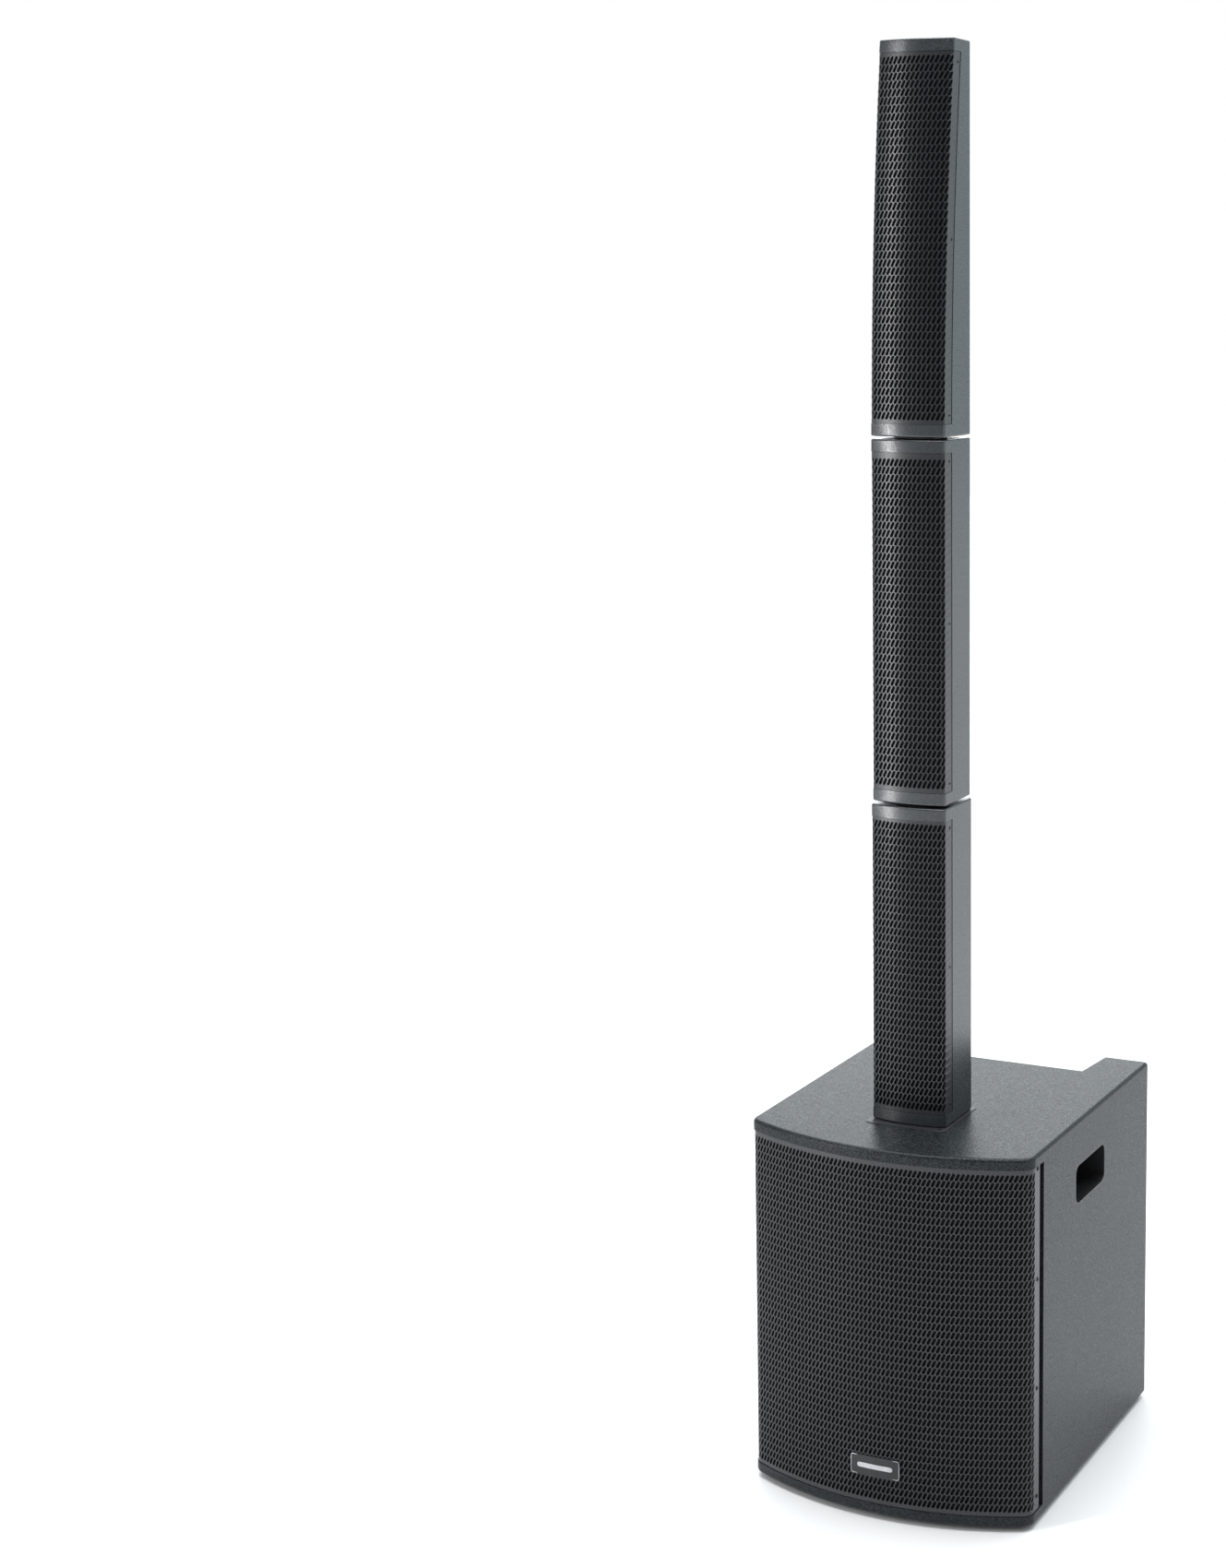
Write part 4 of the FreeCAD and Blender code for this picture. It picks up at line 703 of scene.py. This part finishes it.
def badge_bar(name, half_width, half_height):
    """A plain raised bar with round ends in the middle of the badge."""
    mesh = bmesh.new()
    rows = []
    for step in range(BAR_STEPS + 1):
        across = half_width * math.sin(math.pi * (step / BAR_STEPS - 0.5))
        overrun = max(abs(across) - (half_width - half_height), 0)
        reach = math.sqrt(max(half_height**2 - overrun**2, 0))
        ends = [on_badge(Vector((across, up)), BAR_PROUD) for up in (-reach, reach)]
        rows.append([mesh.verts.new(end) for end in ends])
    for one, other in zip(rows, rows[1:]):
        mesh.faces.new([one[0], other[0], other[1], one[1]])
    bmesh.ops.remove_doubles(mesh, verts=mesh.verts, dist=1e-7)
    made = bpy.data.meshes.new(name)
    mesh.to_mesh(made)
    mesh.free()
    bar = new_object(name, made, SATIN_RIM)
    bar.modifiers.new("thickness", "SOLIDIFY").thickness = 0.2 * MM
    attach(bar, "bass_cabinet")


badge_bar("badge_bar", 25 * MM, 3.2 * MM)

LIP_RADIUS = 1.3 * MM
CUP_CORNER = 14 * MM
HANDLE_LIP = moulded("handle_lip", (0.02, 0.02, 0.022), 0.25)
for side in ("left", "right"):
    cup_low, cup_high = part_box(f"{side}_handle_cup")
    outward = 1 if side == "right" else -1
    face = max(abs(cup_low.x), abs(cup_high.x)) - LIP_RADIUS
    middle = (cup_low + cup_high) / 2
    reach = (cup_high - cup_low) / 2
    places = rounded_corners(reach.y - LIP_RADIUS, reach.z - LIP_RADIUS, CUP_CORNER - LIP_RADIUS)
    lip = [Vector((outward * face, middle.y + place.x, middle.z + place.y)) for place in places]
    rod_loop(f"{side}_handle_lip", lip, LIP_RADIUS, HANDLE_LIP, "bass_cabinet")

PRINT = moulded("panel_print", (0.62, 0.62, 0.6), 0.5)
PANEL_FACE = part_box("amp_panel")[1].y + 0.04 * MM


def print_lines(name, lines, width):
    """Thin printed lines on the amplifier's panel, as pairs of (x, z) ends."""
    mesh = bpy.data.meshes.new(name)
    points, faces = [], []
    for start, end in lines:
        side = (end - start).orthogonal().normalized() * width / 2
        for corner in (start - side, start + side, end + side, end - side):
            points.append((corner.x, PANEL_FACE, corner.y))
        first = len(points) - 4
        faces.append((first, first + 1, first + 2, first + 3))
    mesh.from_pydata(points, [], faces)
    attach(new_object(name, mesh, PRINT), "bass_cabinet")


def print_number(name, body_text, place):
    """A number of a dial, to be read from behind the cabinet."""
    text = bpy.data.curves.new(name, "FONT")
    text.body = body_text
    text.size = 4.2 * MM
    text.align_x, text.align_y = "CENTER", "CENTER"
    item = bpy.data.objects.new(name, text)
    SCENE.collection.objects.link(item)
    item.location = (place.x, PANEL_FACE, place.y)
    item.rotation_euler = (math.pi / 2, 0, math.pi)
    text.materials.append(PRINT)
    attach(item, "bass_cabinet")


KNOBS = ("input_1", "input_2", "sub_level", "master")
DIAL_SWEEP = math.radians(140)
DIAL_STEPS = 10
TICK_START, TICK_END, LONG_TICK_END, NUMBER_REACH = 14.2 * MM, 17 * MM, 18 * MM, 21 * MM
for knob in KNOBS:
    low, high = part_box(f"{knob}_knob")
    middle = Vector(((low.x + high.x) / 2, (low.z + high.z) / 2))
    ticks = []
    for step in range(DIAL_STEPS + 1):
        angle = DIAL_SWEEP * (2 * step / DIAL_STEPS - 1)
        out = Vector((-math.sin(angle), math.cos(angle)))
        end = TICK_END if step % (DIAL_STEPS // 2) else LONG_TICK_END
        ticks.append((middle + out * TICK_START, middle + out * end))
    print_lines(f"{knob}_ticks", ticks, 0.6 * MM)
    for end, number in ((-1, "0"), (1, "10")):
        out = Vector((-math.sin(DIAL_SWEEP * end), math.cos(DIAL_SWEEP * end)))
        print_number(f"{knob}_number_{number}", number, middle + out * NUMBER_REACH)


# ---------------------------------------------------------------- stage, light and camera


FLOOR_HALF = 15
floor_surface = Surface("pale_floor", rough=0.6)
drift = floor_surface.noise(0.4, 2)
floor_surface.colour(floor_surface.ramp(drift, (0.84, 0.84, 0.84), (0.86, 0.86, 0.86)))
floor_mesh = bpy.data.meshes.new("floor")
floor_corners = [(FLOOR_HALF * x, FLOOR_HALF * y, 0) for x, y in ((-1, -1), (1, -1), (1, 1), (-1, 1))]
floor_mesh.from_pydata(floor_corners, [], [(0, 1, 2, 3)])
floor = new_object("floor", floor_mesh, floor_surface.material)


def area_light(name, at, aim, width, height, power):
    data = bpy.data.lights.new(name, "AREA")
    data.shape = "RECTANGLE"
    data.size, data.size_y = width, height
    data.energy = power
    item = bpy.data.objects.new(name, data)
    SCENE.collection.objects.link(item)
    item.location = at
    item.rotation_euler = (Vector(aim) - Vector(at)).to_track_quat("-Z", "Y").to_euler()


# Name, place, aim, width, height and watts
area_light("right_softbox", (3.6, 1.6, 2.0), (0, 0, 0.9), 1.6, 2.8, 5)
area_light("right_strip", (3.3, -1.3, 1.3), (0, 0, 0.95), 0.3, 2.8, 22)
area_light("rear_softbox", (-1.9, 3.9, 1.9), (0, 0, 0.5), 2.6, 1.6, 28)
area_light("top_softbox", (0.0, -0.4, 3.3), (0, 0, 0.5), 1.2, 0.8, 30)
area_light("left_strip", (-2.3, -2.8, 1.4), (0, 0, 0.95), 0.3, 3.0, 85)

sky_light = bpy.data.lights.new("soft_overhead", "SUN")
sky_light.energy = 3.0
sky_light.angle = math.radians(70)
sky = bpy.data.objects.new("soft_overhead", sky_light)
SCENE.collection.objects.link(sky)
sky.rotation_euler = (math.radians(-12), 0, 0)


def studio_world():
    """White all round for the eye. As light, it's white behind the object and dim in front."""
    world = bpy.data.worlds.new("studio")
    world.use_nodes = True
    nodes, links = world.node_tree.nodes, world.node_tree.links
    white = nodes["Background"]
    white.inputs["Color"].default_value = (1, 1, 1, 1)
    coordinates = nodes.new("ShaderNodeTexCoord")
    facing = nodes.new("ShaderNodeVectorMath")
    facing.operation = "DOT_PRODUCT"
    facing.inputs[1].default_value = (0.25, -0.95, -0.1)
    links.new(coordinates.outputs["Generated"], facing.inputs[0])
    fall = nodes.new("ShaderNodeMapRange")
    fall.interpolation_type = "SMOOTHSTEP"
    fall.inputs["From Min"].default_value = -0.6
    fall.inputs["From Max"].default_value = 0.6
    fall.inputs["To Min"].default_value = 1.0
    fall.inputs["To Max"].default_value = 0.05
    links.new(facing.outputs["Value"], fall.inputs["Value"])
    dimmed = nodes.new("ShaderNodeBackground")
    dimmed.inputs["Color"].default_value = (0.82, 0.94, 1, 1)
    links.new(fall.outputs["Result"], dimmed.inputs["Strength"])
    seen = nodes.new("ShaderNodeLightPath")
    mix = nodes.new("ShaderNodeMixShader")
    links.new(seen.outputs["Is Camera Ray"], mix.inputs["Fac"])
    links.new(dimmed.outputs["Background"], mix.inputs[1])
    links.new(white.outputs["Background"], mix.inputs[2])
    links.new(mix.outputs["Shader"], nodes["World Output"].inputs["Surface"])
    return world


SCENE.world = studio_world()
SCENE.view_settings.view_transform = "Standard"

YAW, PITCH, ROLL = 0.4056, 0.1366, 0.0005
SENSOR = 36.0
FOCAL_SHARE = 1.5853  # focal length over the height of the frame
CAMERA_PLACE = (1.3200, -2.9797, 1.5719)
level_ahead = Vector((-math.sin(YAW), math.cos(YAW), 0))
level_right = Vector((math.cos(YAW), math.sin(YAW), 0))
ahead = level_ahead * math.cos(PITCH) - Vector((0, 0, math.sin(PITCH)))
level_up = level_right.cross(ahead)
right = level_right * math.cos(ROLL) + level_up * math.sin(ROLL)
up = level_up * math.cos(ROLL) - level_right * math.sin(ROLL)
camera_data = bpy.data.cameras.new("camera")
camera_data.sensor_width = SENSOR
camera_data.lens = SENSOR * FOCAL_SHARE
camera_data.shift_x = -0.2326
camera_data.shift_y = -0.0941
camera_data.clip_end = 60
camera = bpy.data.objects.new("camera", camera_data)
SCENE.collection.objects.link(camera)
turn = Matrix((right, up, -ahead)).transposed().to_4x4()
camera.matrix_world = Matrix.Translation(CAMERA_PLACE) @ turn
SCENE.camera = camera
